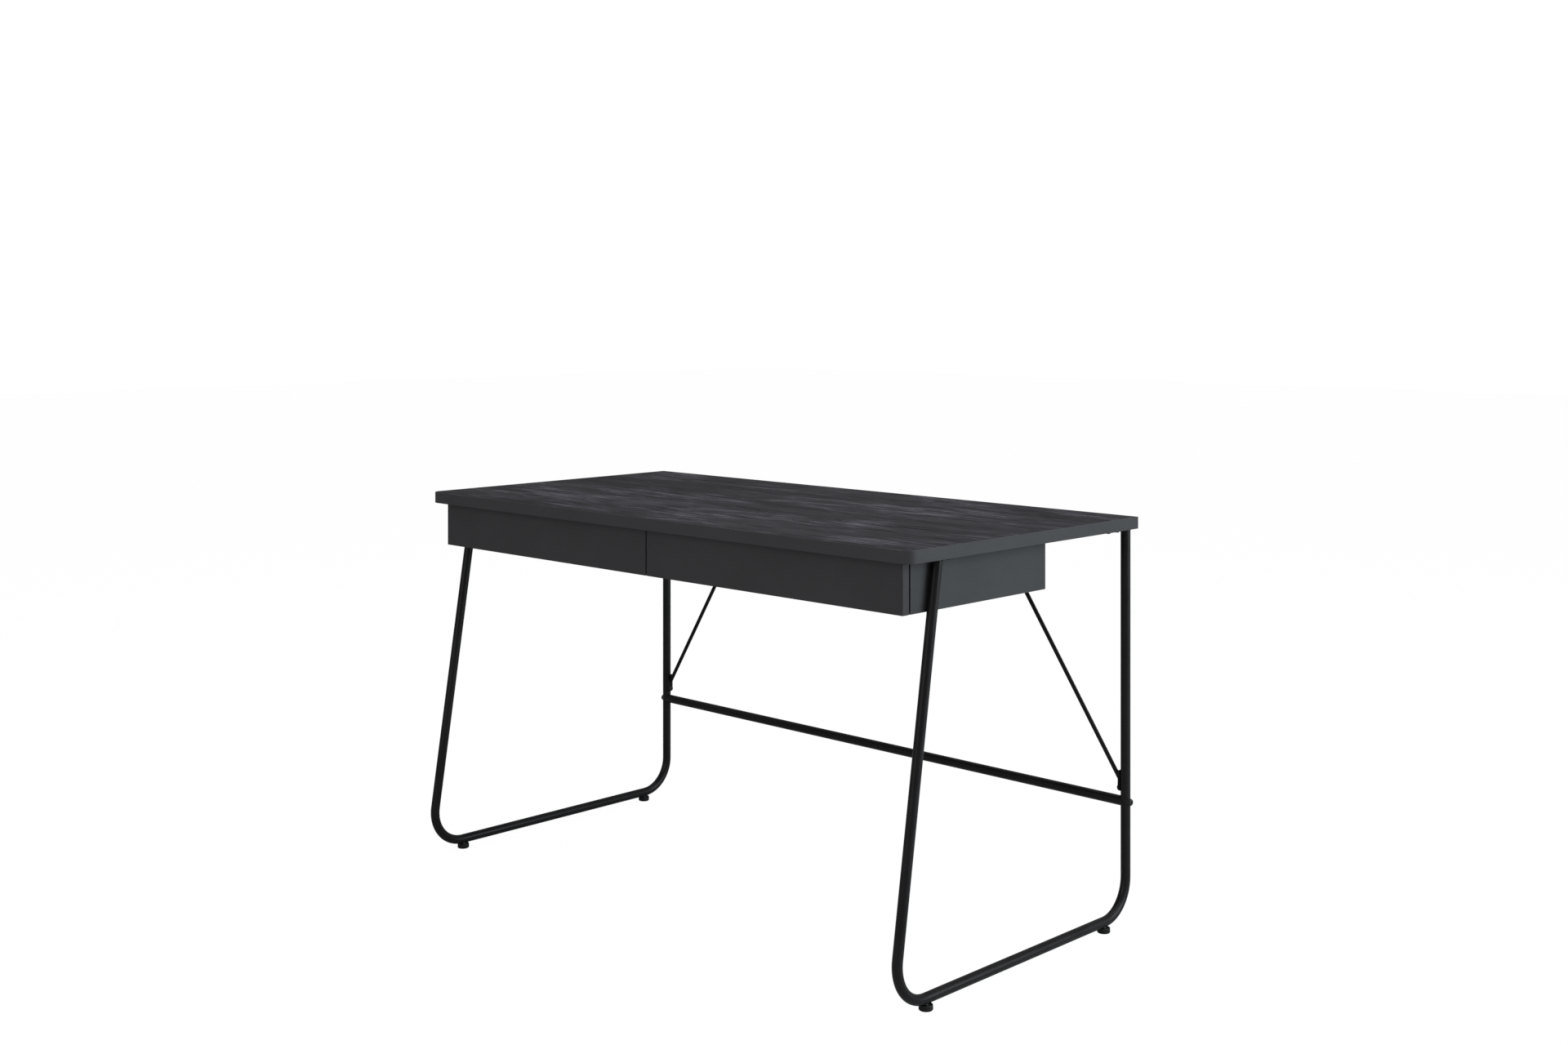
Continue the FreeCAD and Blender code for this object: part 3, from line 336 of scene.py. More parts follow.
def make_oak_grain(name):
    """Make the grain of black oak: fibres along X that flow round scattered knots."""
    group, start, end = new_group(
        name,
        [("Place", "Vector", (0, 0, 0)), ("Knots", "Vector", (2.3, KNOTS_ACROSS, KNOTS_ACROSS)),
         ("Knot Size", "Float", 0.11), ("Wander", "Float", 0.030), ("Ripple", "Float", 0.0030)],
        [("Figure", "Float"), ("Fibres", "Float"), ("Flecks", "Float"), ("Dark", "Float"),
         ("Height", "Float")],
    )
    place = start.outputs["Place"]
    parts = add(group, "SeparateXYZ", {0: place})

    cells = stretch(group, place, start.outputs["Knots"])
    knot = add(group, "TexVoronoi", {"Vector": cells, "Scale": 1.0, "Randomness": 0.75})
    offset = add(
        group, "VectorMath", {0: cells, 1: knot.outputs["Position"]}, operation="SUBTRACT",
    ).outputs[0]
    across = add(group, "SeparateXYZ", {0: offset}).outputs[1]
    chosen = ramp(
        group, add(group, "SeparateColor", {0: knot.outputs["Color"]}).outputs[0], 0.30, 0.34,
    )
    size = maths(group, "MULTIPLY", start.outputs["Knot Size"], chosen)
    distance = maths(group, "MAXIMUM", knot.outputs["Distance"], 0.05)
    pull = maths(group, "POWER", maths(group, "DIVIDE", size, distance), 2.0)
    pull = maths(group, "MINIMUM", pull, 0.9)
    near = ramp(group, distance, 0.42, 0.18)
    bend = maths(group, "MULTIPLY", maths(group, "MULTIPLY", pull, near), across)
    bend = maths(group, "DIVIDE", bend, KNOTS_ACROSS)

    drift = centred(group, grain_noise(group, place, 1.6, 4.0), start.outputs["Wander"])
    ripple = centred(group, grain_noise(group, place, 8.0, 22.0), start.outputs["Ripple"])
    along = maths(group, "ADD", maths(group, "SUBTRACT", parts.outputs[1], bend), drift)
    along = maths(group, "ADD", along, ripple)
    grain = add(group, "CombineXYZ", {0: parts.outputs[0], 1: along, 2: parts.outputs[2]})
    grain = grain.outputs[0]

    figure = grain_noise(group, grain, 1.4, 20.0, 3.0)
    streaks = grain_noise(group, grain, 7.0, 75.0, 4.0, 0.65)
    fibres = grain_noise(group, grain, 20.0, 520.0, 3.0, 0.6)
    pores = grain_noise(group, grain, 55.0, 1500.0, 1.0)
    ticks = grain_noise(group, grain, 10.0, 185.0, 5.0, 0.68)
    clusters = grain_noise(group, place, 3.5, 10.0, 3.0, 0.6)
    rings = add(
        group, "TexWave",
        {"Vector": stretch(group, grain, (0.12, 1.0, 1.0)), "Scale": 14.0, "Distortion": 5.0,
         "Detail": 3.0, "Detail Scale": 1.4, "Detail Roughness": 0.6},
        bands_direction="Y",
    ).outputs["Fac"]
    lines = maths(
        group, "MULTIPLY", ramp(group, rings, 0.16, 0.0),
        ramp(group, figure, 0.62, 0.40, 0.0, 0.75),
    )
    flecks = maths(
        group, "MULTIPLY", ramp(group, ticks, 0.50, 0.59), ramp(group, clusters, 0.40, 0.60),
    )
    eye = maths(group, "MULTIPLY", ramp(group, distance, 0.13, 0.05), chosen)
    eye = maths(group, "MULTIPLY", eye, ramp(group, streaks, 0.30, 0.60))
    checks = ramp(group, ticks, 0.44, 0.36, 0.0, 0.75)
    open_pores = ramp(group, pores, 0.60, 0.72, 0.0, 0.5)
    dark = lines
    for mark in (eye, checks, open_pores):
        dark = maths(group, "MAXIMUM", dark, mark)
    relief = maths(group, "MULTIPLY_ADD", dark, -0.7, maths(group, "MULTIPLY", fibres, 0.6))
    tone = maths(group, "MULTIPLY_ADD", figure, 0.45, maths(group, "MULTIPLY", streaks, 0.55))
    return deliver(group, end, {
        "Figure": ramp(group, tone, 0.38, 0.60),
        "Fibres": ramp(group, fibres, 0.34, 0.66),
        "Flecks": flecks,
        "Dark": dark,
        "Height": relief,
    })


GROUPS = {
    "Fine texture": make_fine_texture,
    "Edge wear": make_edge_wear,
    "Dust and marks": make_dust,
    "Oak grain": make_oak_grain,
}


def place_group(tree, name, **inputs):
    """Place a shared shader group in a material, making the group the first time."""
    group = bpy.data.node_groups.get(name) or GROUPS[name](name)
    return add(tree, "Group", {k.replace("_", " "): v for k, v in inputs.items()}, node_tree=group)


def scaled(tint, factor):
    """Return a colour made darker or paler."""
    return tuple(channel * factor for channel in tint)


class Finish:
    """A material being built: its tone, sheen and relief lead to one Principled shader."""

    def __init__(self, name, rounding, patches=40.0):
        self.material = bpy.data.materials.new(name)
        self.material.use_nodes = True
        self.tree = self.material.node_tree
        self.tree.nodes.clear()
        self.shader = add(self.tree, "BsdfPrincipled")
        end = self.tree.nodes.new("ShaderNodeOutputMaterial")
        self.tree.links.new(self.shader.outputs[0], end.inputs["Surface"])
        self.place = add(self.tree, "TexCoord").outputs["Object"]
        self.edge = place_group(
            self.tree, "Edge wear", Place=self.place, Rounding=rounding, Patches=patches,
        )
        self.marks = place_group(self.tree, "Dust and marks", Place=self.place)

    def texture(self, grain, cloud, stretched=(1, 1, 1)):
        """Place a fine texture of this grain and cloud scale."""
        return place_group(
            self.tree, "Fine texture", Place=self.place, Grain=grain, Cloud=cloud,
            Stretch=stretched,
        )

    def lay_colour(self, body, worn, settings):
        """Feed the body colour to the shader, rubbed pale at edges and lightly dusty."""
        tree = self.tree
        rubbed = maths(tree, "MULTIPLY", self.edge.outputs["Wear"], settings.edge_wear)
        tint = mix(tree, rubbed, body, worn)
        dusty = maths(tree, "MULTIPLY", self.marks.outputs["Dust"], settings.dust_cover)
        tint = mix(tree, dusty, tint, settings.dust)
        tree.links.new(tint, self.shader.inputs["Base Color"])

    def lay_sheen(self, tone, smooth, rough):
        """Feed roughness to the shader, from a tone and the handling marks."""
        tree = self.tree
        base = ramp(tree, tone, 0.0, 1.0, smooth, rough)
        marked = maths(tree, "MULTIPLY_ADD", self.marks.outputs["Marks"], -0.07, base)
        tree.links.new(marked, self.shader.inputs["Roughness"])

    def lay_relief(self, height, depth, strength):
        """Feed the normal to the shader: a relief of this depth over the rounded edges."""
        tree = self.tree
        inputs = {
            "Strength": strength, "Distance": depth, "Height": height,
            "Normal": self.edge.outputs["Normal"],
        }
        tree.links.new(add(tree, "Bump", inputs).outputs[0], self.shader.inputs["Normal"])

    def set_shader(self, **values):
        """Set plain values on the shader's own sockets."""
        for name, value in values.items():
            self.shader.inputs[name.replace("_", " ")].default_value = value


def make_oak(settings):
    """Make the top's black oak laminate, its grain along X and plain underneath."""
    finish = Finish("Black oak laminate", 0.4 * MM)
    tree = finish.tree
    oak = place_group(tree, "Oak grain", Place=finish.place)
    body = mix(tree, oak.outputs["Figure"], settings.oak_dark, settings.oak_mid)
    for layer, strength in (("Fibres", 0.26), ("Flecks", 0.85)):
        pale = maths(tree, "MULTIPLY", oak.outputs[layer], strength)
        body = mix(tree, pale, body, settings.oak_pale)
    body = mix(tree, oak.outputs["Dark"], body, settings.oak_pore)
    upright = add(tree, "SeparateXYZ", {0: add(tree, "NewGeometry").outputs["Normal"]}).outputs[2]
    backing = finish.texture(grain=600.0, cloud=8.0, stretched=(0.3, 1.0, 1.0)).outputs["Tone"]
    plain = mix(tree, backing, scaled(settings.band, 0.85), scaled(settings.band, 1.1))
    underside = ramp(tree, upright, -0.5, -0.9)
    body = mix(tree, underside, body, plain)
    finish.lay_colour(body, scaled(settings.oak_pale, 1.3), settings)
    finish.lay_sheen(oak.outputs["Fibres"], smooth=0.58, rough=0.72)
    finish.lay_relief(oak.outputs["Height"], depth=0.12 * MM, strength=0.8)
    finish.set_shader(Specular_IOR_Level=0.04)
    return finish.material


def make_melamine(name, tint, settings, rounding=0.6 * MM, contrast=0.06):
    """Make a matt melamine or edge band: an even colour, softly clouded, finely pebbled."""
    finish = Finish(name, rounding)
    tree = finish.tree
    pebble = finish.texture(grain=1100.0, cloud=9.0)
    body = mix(
        tree, pebble.outputs["Tone"], scaled(tint, 1 - contrast), scaled(tint, 1 + contrast),
    )
    speckles = maths(tree, "MULTIPLY", pebble.outputs["Speckle"], 0.12)
    body = mix(tree, speckles, body, scaled(tint, 1.5))
    finish.lay_colour(body, scaled(tint, 2.6), settings)
    finish.lay_sheen(pebble.outputs["Speckle"], smooth=0.55, rough=0.66)
    finish.lay_relief(pebble.outputs["Height"], depth=0.06 * MM, strength=0.6)
    finish.set_shader(Specular_IOR_Level=0.28)
    return finish.material


def make_coat(name, tint, settings, rounding=0.5 * MM):
    """Make a satin powder coat: orange peel, faint clouds and pale rubbed edges."""
    finish = Finish(name, rounding, patches=70.0)
    tree = finish.tree
    peel = finish.texture(grain=750.0, cloud=14.0)
    body = mix(tree, peel.outputs["Tone"], scaled(tint, 0.85), scaled(tint, 1.15))
    speckles = maths(tree, "MULTIPLY", peel.outputs["Speckle"], 0.15)
    body = mix(tree, speckles, body, scaled(tint, 2))
    finish.lay_colour(body, scaled(tint, 5), settings)
    finish.lay_sheen(peel.outputs["Tone"], smooth=0.30, rough=0.38)
    finish.lay_relief(peel.outputs["Height"], depth=0.04 * MM, strength=0.5)
    finish.set_shader(Specular_IOR_Level=0.16)
    return finish.material


def make_metal(name, tint, settings, smooth, rough, stretched=(1, 1, 1)):
    """Make bare or plated steel, its texture even or drawn out along one axis."""
    finish = Finish(name, 0.2 * MM, patches=120.0)
    tree = finish.tree
    drawn = finish.texture(grain=1400.0, cloud=60.0, stretched=stretched)
    body = mix(tree, drawn.outputs["Tone"], scaled(tint, 0.90), scaled(tint, 1.05))
    speckles = maths(tree, "MULTIPLY", drawn.outputs["Speckle"], 0.14)
    body = mix(tree, speckles, body, scaled(tint, 0.7))
    finish.lay_colour(body, scaled(tint, 1.3), settings)
    finish.lay_sheen(drawn.outputs["Speckle"], smooth, rough)
    finish.lay_relief(drawn.outputs["Height"], depth=0.02 * MM, strength=0.4)
    finish.set_shader(Metallic=1.0)
    return finish.material


def make_moulded(name, tint, settings, smooth, rough):
    """Make moulded rubber or plastic with a fine spark-eroded skin."""
    finish = Finish(name, 0.3 * MM, patches=160.0)
    tree = finish.tree
    moulded = finish.texture(grain=2200.0, cloud=90.0)
    body = mix(tree, moulded.outputs["Tone"], scaled(tint, 0.8), scaled(tint, 1.25))
    finish.lay_colour(body, scaled(tint, 4), settings)
    finish.lay_sheen(moulded.outputs["Speckle"], smooth, rough)
    finish.lay_relief(moulded.outputs["Height"], depth=0.05 * MM, strength=0.6)
    finish.set_shader(Specular_IOR_Level=0.30)
    return finish.material


def paint(slot, material):
    """Give a finish to every frame node of a slot."""
    for node in slot_nodes[slot]:
        for place in node.material_slots:
            place.material = material


# ---- mesh parts ----------------------------------------------------------------------------

def skin(mesh, rings):
    """Skin rings of points, each ring with as many points as the next, and close both ends."""
    loops = [[mesh.verts.new(point) for point in ring] for ring in rings]
    for lower, upper in zip(loops, loops[1:]):
        for i, point in enumerate(lower):
            j = (i + 1) % len(lower)
            mesh.faces.new((point, lower[j], upper[j], upper[i]))
    mesh.faces.new(loops[0])
    mesh.faces.new(loops[-1])


def build_piece(name, surfaces, material, body, replaced=()):
    """Make a piece from skinned surfaces; it rides on its body and may stand for frame nodes."""
    shape = bmesh.new()
    for rings in surfaces:
        skin(shape, rings)
    bmesh.ops.recalc_face_normals(shape, faces=shape.faces)
    mesh = bpy.data.meshes.new(name)
    shape.to_mesh(mesh)
    shape.free()
    mesh.shade_smooth()
    mesh.set_sharp_from_angle(angle=SHARP)
    mesh.materials.append(material)
    piece = bpy.data.objects.new(name, mesh)
    bpy.context.scene.collection.objects.link(piece)
    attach(piece, body)
    if replaced:
        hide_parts(*replaced)
    return piece


def curve_steps(first, last, count):
    """Return evenly spaced numbers from first to last."""
    return [first + (last - first) * i / (count - 1) for i in range(count)]


def arc(radius, height, wide, tall, first=0, last=90, count=ARC_STEPS):
    """Return (radius, height) points on an arc about a point, its reach wide and tall."""
    turns = [math.radians(angle) for angle in curve_steps(first, last, count)]
    return [(radius + wide * math.cos(turn), height + tall * math.sin(turn)) for turn in turns]


def lathe(centre, axis, across, profile):
    """Return rings of (radius, height) points turned about an axis."""
    other = axis.cross(across)
    turns = [2 * math.pi * i / AROUND for i in range(AROUND)]
    return [
        [
            centre + axis * height + (across * math.cos(turn) + other * math.sin(turn)) * radius
            for turn in turns
        ]
        for radius, height in profile
    ]


def hexagon(centre, axis, across, flats, height):
    """Return a ring on a hexagon: flats is the middle to a flat."""
    other = axis.cross(across)
    ring = []
    for i in range(AROUND):
        turn = 2 * math.pi * i / AROUND
        from_flat = (turn + math.pi / 6) % (math.pi / 3) - math.pi / 6
        radius = flats / math.cos(from_flat)
        reach = (across * math.cos(turn) + other * math.sin(turn)) * radius
        ring.append(centre + axis * height + reach)
    return ring


def saddle(ring, axis, seat, tube):
    """Drop a ring's points along the axis onto an upright tube whose crown is at the seat."""
    return [
        point - axis * (tube - math.sqrt(tube ** 2 - min(abs(point.y - seat.y), tube) ** 2))
        for point in ring
    ]


def button_head(seat, axis, fittings, radius, base, height):
    """Return the rings of a domed head with a hexagon socket, from its base to its socket."""
    brow = radius - 0.5 * MM
    lip = fittings.socket * 1.5
    skirt = base + (height - base) * HEAD_SKIRT
    floor = height - fittings.socket_depth
    profile = [(brow - 0.4 * MM, base), (brow, base + 0.25 * MM), (brow, skirt)]
    profile += arc(lip, skirt, brow - lip, height - skirt)[1:]
    profile.append((fittings.socket * 1.28, height - 0.05 * MM))
    rings = lathe(seat, axis, Y_AXIS, profile)
    for level in (height - 0.4 * MM, floor):
        rings.append(hexagon(seat, axis, Y_AXIS, fittings.socket, level))
    drill_point = [(1.4 * MM, floor - 0.1 * MM), (0.3 * MM, floor - 0.5 * MM)]
    return rings + lathe(seat, axis, Y_AXIS, drill_point)


def shank_rings(seat, axis, fittings, reach):
    """Return the rings of a bolt's shank, from its tip to just under the seat."""
    radius = fittings.shank
    bevel = 0.6 * MM
    neck = 3 * MM
    profile = [(radius * 0.8, -reach), (radius, -reach + bevel), (radius, -neck)]
    return lathe(seat, axis, Y_AXIS, profile)


def weld_bead(centre, across, along, first, last, fittings):
    """Return the rings of a rippled bead on an arc, angles in degrees from across to along."""
    normal = across.cross(along).normalized()
    size = max(across.length, along.length)
    total = math.radians(abs(last - first)) * size
    count = max(12, round(total / (fittings.weld_ripple / BEAD_STEPS)))
    rings = []
    for i in range(count + 1):
        turn = math.radians(first + (last - first) * i / count)
        reach = across * math.cos(turn) + along * math.sin(turn)
        gone = total * i / count
        ripple = abs(math.sin(math.pi * gone / fittings.weld_ripple))
        taper = min(1, (min(gone, total - gone) + BEAD_TIP) / fittings.weld_ripple)
        swell = BEAD_VALLEY + (1 - BEAD_VALLEY) * ripple
        radius = fittings.weld * swell * math.sqrt(taper)
        outward = reach.normalized()
        ring = []
        for j in range(BEAD_AROUND):
            angle = 2 * math.pi * j / BEAD_AROUND
            ring.append(
                centre + reach + (outward * math.cos(angle) + normal * math.sin(angle)) * radius
            )
        rings.append(ring)
    return rings


def thread_rings(foot, fittings, low, high):
    """Return the rings of an upright threaded stem with a pointed start at its top."""
    rings = []
    rows = round((high - low) / (fittings.thread_pitch / THREAD_STEPS))
    for row in range(rows + 1):
        height = low + (high - low) * row / rows
        ring = []
        for i in range(AROUND):
            turn = 2 * math.pi * i / AROUND
            step = (height / fittings.thread_pitch - i / AROUND) % 1
            depth = fittings.thread_depth * abs(2 * step - 1)
            crest = min(fittings.shank, fittings.shank - THREAD_POINT + (high - height))
            radius = min(fittings.shank - depth, crest)
            ring.append(
                foot + Vector((math.cos(turn) * radius, math.sin(turn) * radius, height))
            )
        rings.append(ring)
    return rings


def middle(node):
    """Return the middle of a frame node's box."""
    low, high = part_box(node)
    return (low + high) / 2


def clumps(node, spacing):
    """Return the boxes of a frame node's separate solids, which stand further apart than this."""
    found = []
    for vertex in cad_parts[node].data.vertices:
        for box in found:
            if all(box[0][i] - spacing <= vertex.co[i] <= box[1][i] + spacing for i in range(3)):
                box[0] = Vector(map(min, box[0], vertex.co))
                box[1] = Vector(map(max, box[1], vertex.co))
                break
        else:
            found.append([vertex.co.copy(), vertex.co.copy()])
    return found


# ---- operators -----------------------------------------------------------------------------

class DESK_OT_finish_top(bpy.types.Operator):
    """Give the top its black oak laminate and edge band"""
    bl_idname = "desk.finish_top"
    bl_label = "Finish Top"

    def execute(self, context):
        settings = context.scene.desk_finishes
        paint("top_laminate", make_oak(settings))
        band = make_melamine("Black edge band", settings.band, settings, 0.8 * MM, contrast=0.04)
        paint("edge_band", band)
        return {"FINISHED"}


class DESK_OT_finish_case(bpy.types.Operator):
    """Give the case and the drawer fronts their black melamine"""
    bl_idname = "desk.finish_case"
    bl_label = "Finish Case and Fronts"

    def execute(self, context):
        settings = context.scene.desk_finishes
        paint("case_board", make_melamine("Housing melamine", settings.case, settings))
        paint("drawer_front", make_melamine("Drawer front melamine", settings.front, settings))
        return {"FINISHED"}


class DESK_OT_finish_drawers(bpy.types.Operator):
    """Give the drawer boxes their boards, and build the rubber buffers behind the fronts"""
    bl_idname = "desk.finish_drawers"
    bl_label = "Finish Drawers, Build Buffers"

    def execute(self, context):
        settings = context.scene.desk_finishes
        fittings = context.scene.desk_fittings
        inner = settings.inner
        box = make_melamine("Drawer box melamine", inner, settings, 0.5 * MM, contrast=0.10)
        bottom = make_melamine(
            "Coated hardboard", scaled(inner, 1.1), settings, 0.3 * MM, contrast=0.16,
        )
        paint("drawer_board", box)
        paint("drawer_bottom", bottom)
        rubber = make_moulded(
            "Soft black rubber", settings.rubber, settings, smooth=0.62, rough=0.78,
        )
        for side in SIDES:
            node = f"drawer_{side}_buffers"
            surfaces = []
            for low, high in clumps(node, BUFFER_GAP):
                radius = (high.x - low.x) / 2
                thick = high.y - low.y
                foot = Vector(((low.x + high.x) / 2, low.y, (low.z + high.z) / 2))
                dome = fittings.buffer_dome
                profile = [(radius * 0.4, 0), (radius, 0), (radius, thick - dome)]
                profile += arc(0, thick - dome, radius, dome)[1:-1]
                profile.append((radius * 0.04, thick))
                surfaces.append(lathe(foot, Y_AXIS, X_AXIS, profile))
            build_piece(
                f"rubber_buffers_{side}", surfaces, rubber, f"drawer_{side}",
                [node],
            )
        return {"FINISHED"}


class DESK_OT_finish_runners(bpy.types.Operator):
    """Give the runners, ball cages, screws and inserts their steel"""
    bl_idname = "desk.finish_runners"
    bl_label = "Finish Runners and Screws"

    def execute(self, context):
        settings = context.scene.desk_finishes
        sheet = make_metal(
            "Zinc plated sheet", settings.zinc, settings, smooth=0.36, rough=0.46, stretched=DRAWN,
        )
        cage = make_metal(
            "Greased bright steel", settings.bright, settings, smooth=0.18, rough=0.32,
            stretched=DRAWN,
        )
        screw = make_metal("Zinc plated screws", settings.zinc, settings, smooth=0.26, rough=0.40)
        paint("runner_steel", sheet)
        paint("cage_steel", cage)
        paint("screw_steel", screw)
        paint("insert_steel", screw)
        return {"FINISHED"}


class DESK_OT_build_legs(bpy.types.Operator):
    """Powder coat the legs, crossbar, plates and struts, and build their weld beads"""
    bl_idname = "desk.build_legs"
    bl_label = "Finish Legs, Build Weld Beads"

    def execute(self, context):
        settings = context.scene.desk_finishes
        fittings = context.scene.desk_fittings
        coat = make_coat("Satin black powder coat", settings.coat, settings)
        paint("tube_paint", coat)
        darker = scaled(settings.coat, 0.4)
        paint("strut_paint", make_coat("Black rod coat", darker, settings))
        for side, sign in SIDES.items():
            low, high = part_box(f"leg_frame_{side}")
            tube = (high.x - low.x) / 2
            front = middle(f"leg_plate_{side}_front")
            front.z = high.z
            longer = Y_AXIS * (tube / math.cos(fittings.front_lean))
            rear = Vector((front.x, middle("rear_crossbar").y, high.z))
            beads = [
                weld_bead(centre, X_AXIS * tube, along, first, last, fittings)
                for centre, along, arcs in (
                    (front, longer, FRONT_BEADS), (rear, Y_AXIS * tube, REAR_BEADS),
                )
                for first, last in arcs
            ]
            beads += self.strut_beads(side, sign, fittings)
            build_piece(f"weld_beads_{side}", beads, coat, "frame")
        return {"FINISHED"}

    def strut_beads(self, side, sign, fittings):
        """Return the beads round a strut's rod where it meets its two tabs."""
        bolt_low, bolt_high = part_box(f"strut_bolt_{side}")
        plate_low, top_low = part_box(f"leg_plate_{side}_front")
        leg = middle(f"leg_frame_{side}")
        rear_y = middle("rear_crossbar").y
        foot = Vector((leg.x - sign * fittings.rod_inset, rear_y, fittings.rod_level))
        head = Vector((sign * fittings.rod_reach, rear_y - fittings.rod_forward, top_low.z))
        face = (bolt_low.x if sign > 0 else bolt_high.x) + sign * fittings.strut_head
        rise = head - foot
        lower = foot + rise * ((face - foot.x) / rise.x)
        upper = foot + rise * ((plate_low.z - foot.z) / rise.z)
        slant = fittings.rod * rise.length / abs(rise.x)
        steep = fittings.rod * rise.length / rise.z
        return [
            weld_bead(lower, Y_AXIS * fittings.rod, Z_AXIS * slant, 0, 360, fittings),
            weld_bead(upper, X_AXIS * steep, Y_AXIS * fittings.rod, 0, 360, fittings),
        ]


class DESK_OT_build_bolts(bpy.types.Operator):
    """Blacken the top's screws, and build the bolts of the crossbar and the struts"""
    bl_idname = "desk.build_bolts"
    bl_label = "Finish Top Screws, Build Bolts"

    def execute(self, context):
        settings = context.scene.desk_finishes
        fittings = context.scene.desk_fittings
        oxide = make_coat("Black oxide", settings.oxide, settings, 0.2 * MM)
        paint("bolt_black", oxide)
        for side, sign in SIDES.items():
            axis = X_AXIS * sign
            self.crossbar_bolt(side, sign, axis, fittings, oxide)
            self.strut_bolt(side, sign, axis * -1, fittings, oxide)
        return {"FINISHED"}

    def crossbar_bolt(self, side, sign, axis, fittings, material):
        """Build a bolt through a rear leg, with a washer that follows the tube."""
        node = f"crossbar_bolt_{side}"
        low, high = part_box(node)
        leg_low, leg_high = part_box(f"leg_frame_{side}")
        tube = (leg_high.x - leg_low.x) / 2
        seat = (low + high) / 2
        seat.x = leg_high.x if sign > 0 else leg_low.x
        radius = (high.z - low.z) / 2
        height = abs((high.x if sign > 0 else low.x) - seat.x)
        reach = (high.x - low.x) - height
        rings = shank_rings(seat, axis, fittings, reach)
        under = lathe(seat, axis, Y_AXIS, [(fittings.shank, 0), (radius, 0)])
        rings += [saddle(ring, axis, seat, tube) for ring in under]
        thick = fittings.washer
        bevel = 0.3 * MM
        washer = [(radius, thick - bevel), (radius - bevel, thick), (radius - 1.1 * MM, thick)]
        rings += lathe(seat, axis, Y_AXIS, washer)
        rings += button_head(seat, axis, fittings, radius, thick + 0.15 * MM, height)
        build_piece(f"crossbar_screw_{side}", [rings], material, "frame", [node])

    def strut_bolt(self, side, sign, axis, fittings, material):
        """Build a bolt on a strut's lower tab."""
        node = f"strut_bolt_{side}"
        low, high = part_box(node)
        seat = (low + high) / 2
        seat.x = (low.x if sign > 0 else high.x) - axis.x * fittings.strut_head
        radius = (high.z - low.z) / 2
        reach = (high.x - low.x) - fittings.strut_head
        rings = shank_rings(seat, axis, fittings, reach)
        rings += lathe(seat, axis, Y_AXIS, [(fittings.shank, 0), (radius - 0.3 * MM, 0)])
        rings += lathe(seat, axis, Y_AXIS, [(radius, 0.3 * MM), (radius, 0.7 * MM)])
        rings += button_head(seat, axis, fittings, radius, 0.8 * MM, fittings.strut_head)
        build_piece(f"strut_screw_{side}", [rings], material, "frame", [node])


class DESK_OT_build_feet(bpy.types.Operator):
    """Build the four levelling feet: a moulded pad with a soft sole, and a threaded stem"""
    bl_idname = "desk.build_feet"
    bl_label = "Build Levelling Feet"

    def execute(self, context):
        settings = context.scene.desk_finishes
        fittings = context.scene.desk_fittings
        plastic = make_moulded(
            "Moulded black plastic", settings.plastic, settings, smooth=0.42, rough=0.58,
        )
        steel = make_metal("Zinc plated stems", settings.zinc, settings, smooth=0.26, rough=0.40)
        hidden_end = fittings.pad_height - 0.3 * MM
        for side in SIDES:
            for end in ENDS:
                node = f"foot_{side}_{end}"
                low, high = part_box(node)
                foot = Vector(((low.x + high.x) / 2, (low.y + high.y) / 2, low.z))
                radius = (high.x - low.x) / 2
                pad = lathe(foot, Z_AXIS, X_AXIS, self.pad_profile(radius, fittings))
                build_piece(f"foot_pad_{side}_{end}", [pad], plastic, node, [node])
                stem = thread_rings(foot, fittings, hidden_end, high.z - low.z)
                build_piece(f"foot_stem_{side}_{end}", [stem], steel, node)
        return {"FINISHED"}

    def pad_profile(self, radius, fittings):
        """Return a pad's (radius, height) points, from the hollow in its sole up to its stem."""
        tall = fittings.pad_height
        edge = fittings.pad_edge
        groove = fittings.groove
        hollow = 0.4 * MM
        seam = tall * 0.40
        brow = 1.2 * MM
        dish = tall - 0.5 * MM
        return [
            (radius * 0.2, hollow), (radius * 0.55, hollow), (radius * 0.6, 0),
            *arc(radius - edge, edge, edge, edge, -90, 0, EDGE_STEPS),
            (radius, seam), (radius - groove, seam + groove),
            (radius - groove, seam + 2 * groove), (radius - 0.1 * MM, seam + 3 * groove),
            *arc(radius - 1.4 * MM, tall - brow, brow, brow, 0, 90, EDGE_STEPS),
            (radius * 0.80, tall), (radius * 0.76, dish), (radius * 0.50, dish),
            (radius * 0.46, tall), (fittings.shank * 0.9, tall),
        ]


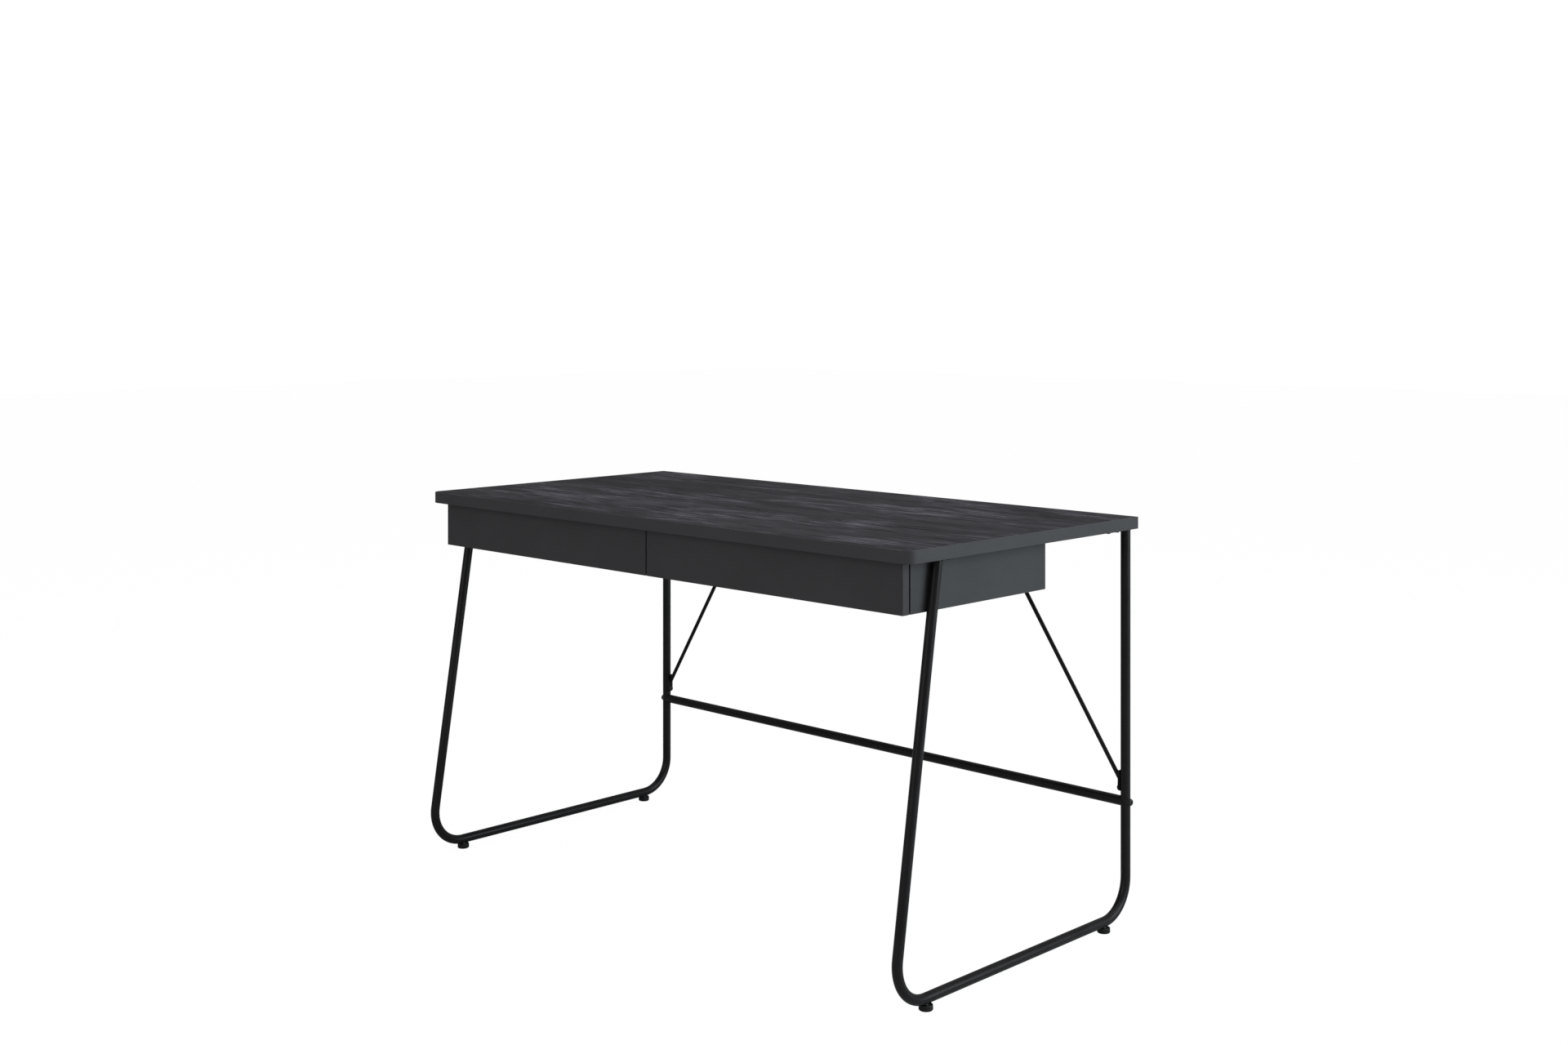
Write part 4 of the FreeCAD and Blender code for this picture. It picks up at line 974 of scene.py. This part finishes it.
class DESK_OT_build_studio(bpy.types.Operator):
    """Set the camera, the soft lamps, the pale backdrop and the floor"""
    bl_idname = "desk.build_studio"
    bl_label = "Build Studio"

    def execute(self, context):
        studio = context.scene.desk_studio
        self.set_camera(context, studio)
        self.set_backdrop(context, studio)
        self.lay_floor(context, studio)
        key = self.hang_lamp(context, studio, "key")
        key.data.color = studio.key_tint
        self.hang_lamp(context, studio, "overhead")
        self.hang_lamp(context, studio, "fill")
        context.scene.view_settings.view_transform = "Standard"
        return {"FINISHED"}

    def set_camera(self, context, studio):
        """Stand the level camera at its place."""
        lens = bpy.data.cameras.new("Camera")
        lens.lens = studio.lens
        lens.shift_y = studio.shift
        lens.clip_end = studio.clip_end
        camera = bpy.data.objects.new("Camera", lens)
        camera.location = studio.camera_place
        camera.rotation_euler = (math.pi / 2, 0, studio.camera_turn)
        context.scene.collection.objects.link(camera)
        context.scene.camera = camera

    def set_backdrop(self, context, studio):
        """Light the desk evenly from all round, before a plain pale backdrop."""
        world = bpy.data.worlds.new("Studio")
        world.use_nodes = True
        tree = world.node_tree
        tree.nodes.clear()
        soft = add(tree, "Background", {"Strength": studio.ambient})
        pale = add(tree, "Background", {"Color": (1, 1, 1, 1), "Strength": studio.backdrop})
        soft.inputs["Color"].default_value = (1, 1, 1, 1)
        seen = add(tree, "LightPath").outputs["Is Camera Ray"]
        either = add(tree, "MixShader", {0: seen, 1: soft.outputs[0], 2: pale.outputs[0]})
        end = tree.nodes.new("ShaderNodeOutputWorld")
        tree.links.new(either.outputs[0], end.inputs["Surface"])
        context.scene.world = world

    def lay_floor(self, context, studio):
        """Lay a plain pale floor that can be seen through from below."""
        shape = bmesh.new()
        bmesh.ops.create_grid(shape, x_segments=2, y_segments=2, size=studio.floor_size / 2)
        mesh = bpy.data.meshes.new("studio_floor")
        shape.to_mesh(mesh)
        shape.free()
        material = bpy.data.materials.new("Pale floor")
        material.use_nodes = True
        tree = material.node_tree
        tree.nodes.clear()
        matt = add(tree, "BsdfDiffuse", {"Color": (*studio.floor, 1)})
        glow = add(tree, "Emission", {"Color": (1, 1, 1, 1), "Strength": studio.backdrop})
        seen = add(tree, "LightPath").outputs["Is Camera Ray"]
        even = maths(tree, "MULTIPLY", seen, studio.floor_glow)
        lit = add(tree, "MixShader", {0: even, 1: matt.outputs[0], 2: glow.outputs[0]})
        below = add(tree, "NewGeometry").outputs["Backfacing"]
        clear = add(tree, "BsdfTransparent")
        either = add(tree, "MixShader", {0: below, 1: lit.outputs[0], 2: clear.outputs[0]})
        end = tree.nodes.new("ShaderNodeOutputMaterial")
        tree.links.new(either.outputs[0], end.inputs["Surface"])
        mesh.materials.append(material)
        floor = bpy.data.objects.new("studio_floor", mesh)
        context.scene.collection.objects.link(floor)

    def hang_lamp(self, context, studio, setting):
        """Hang the square soft lamp of a setting, turn it to the desk and return it."""
        lamp = bpy.data.lights.new(setting.capitalize(), "AREA")
        lamp.energy = getattr(studio, setting)
        lamp.size = getattr(studio, setting + "_size")
        hung = bpy.data.objects.new(setting.capitalize(), lamp)
        hung.location = getattr(studio, setting + "_place")
        away = Vector(studio.aim) - hung.location
        hung.rotation_euler = away.to_track_quat("-Z", "Y").to_euler()
        hung.visible_camera = False
        context.scene.collection.objects.link(hung)
        return hung


class DESK_PT_sidebar(bpy.types.Panel):
    """The desk's pieces and settings"""
    bl_idname = "DESK_PT_sidebar"
    bl_label = "Writing Desk"
    bl_space_type = "VIEW_3D"
    bl_region_type = "UI"
    bl_category = "Desk"

    def draw(self, context):
        for operator in OPERATORS:
            self.layout.operator(operator.bl_idname)
        for group in (
            context.scene.desk_finishes, context.scene.desk_fittings, context.scene.desk_studio,
        ):
            column = self.layout.box().column()
            for name in group.__annotations__:
                column.prop(group, name)


OPERATORS = (
    DESK_OT_finish_top,
    DESK_OT_finish_case,
    DESK_OT_finish_drawers,
    DESK_OT_finish_runners,
    DESK_OT_build_legs,
    DESK_OT_build_bolts,
    DESK_OT_build_feet,
    DESK_OT_build_studio,
)
CLASSES = (DeskFinishes, DeskFittings, DeskStudio, *OPERATORS, DESK_PT_sidebar)


def register():
    """Register the classes and hang the settings on the scene."""
    for item in CLASSES:
        bpy.utils.register_class(item)
    bpy.types.Scene.desk_finishes = bpy.props.PointerProperty(type=DeskFinishes)
    bpy.types.Scene.desk_fittings = bpy.props.PointerProperty(type=DeskFittings)
    bpy.types.Scene.desk_studio = bpy.props.PointerProperty(type=DeskStudio)


def unregister():
    """Take the settings and the classes away again."""
    del bpy.types.Scene.desk_studio
    del bpy.types.Scene.desk_fittings
    del bpy.types.Scene.desk_finishes
    for item in reversed(CLASSES):
        bpy.utils.unregister_class(item)


def main():
    """Register the classes, finish every part of the desk and build the studio."""
    register()
    bpy.ops.desk.finish_top()
    bpy.ops.desk.finish_case()
    bpy.ops.desk.finish_drawers()
    bpy.ops.desk.finish_runners()
    bpy.ops.desk.build_legs()
    bpy.ops.desk.build_bolts()
    bpy.ops.desk.build_feet()
    bpy.ops.desk.build_studio()


if __name__ == "__main__":
    main()
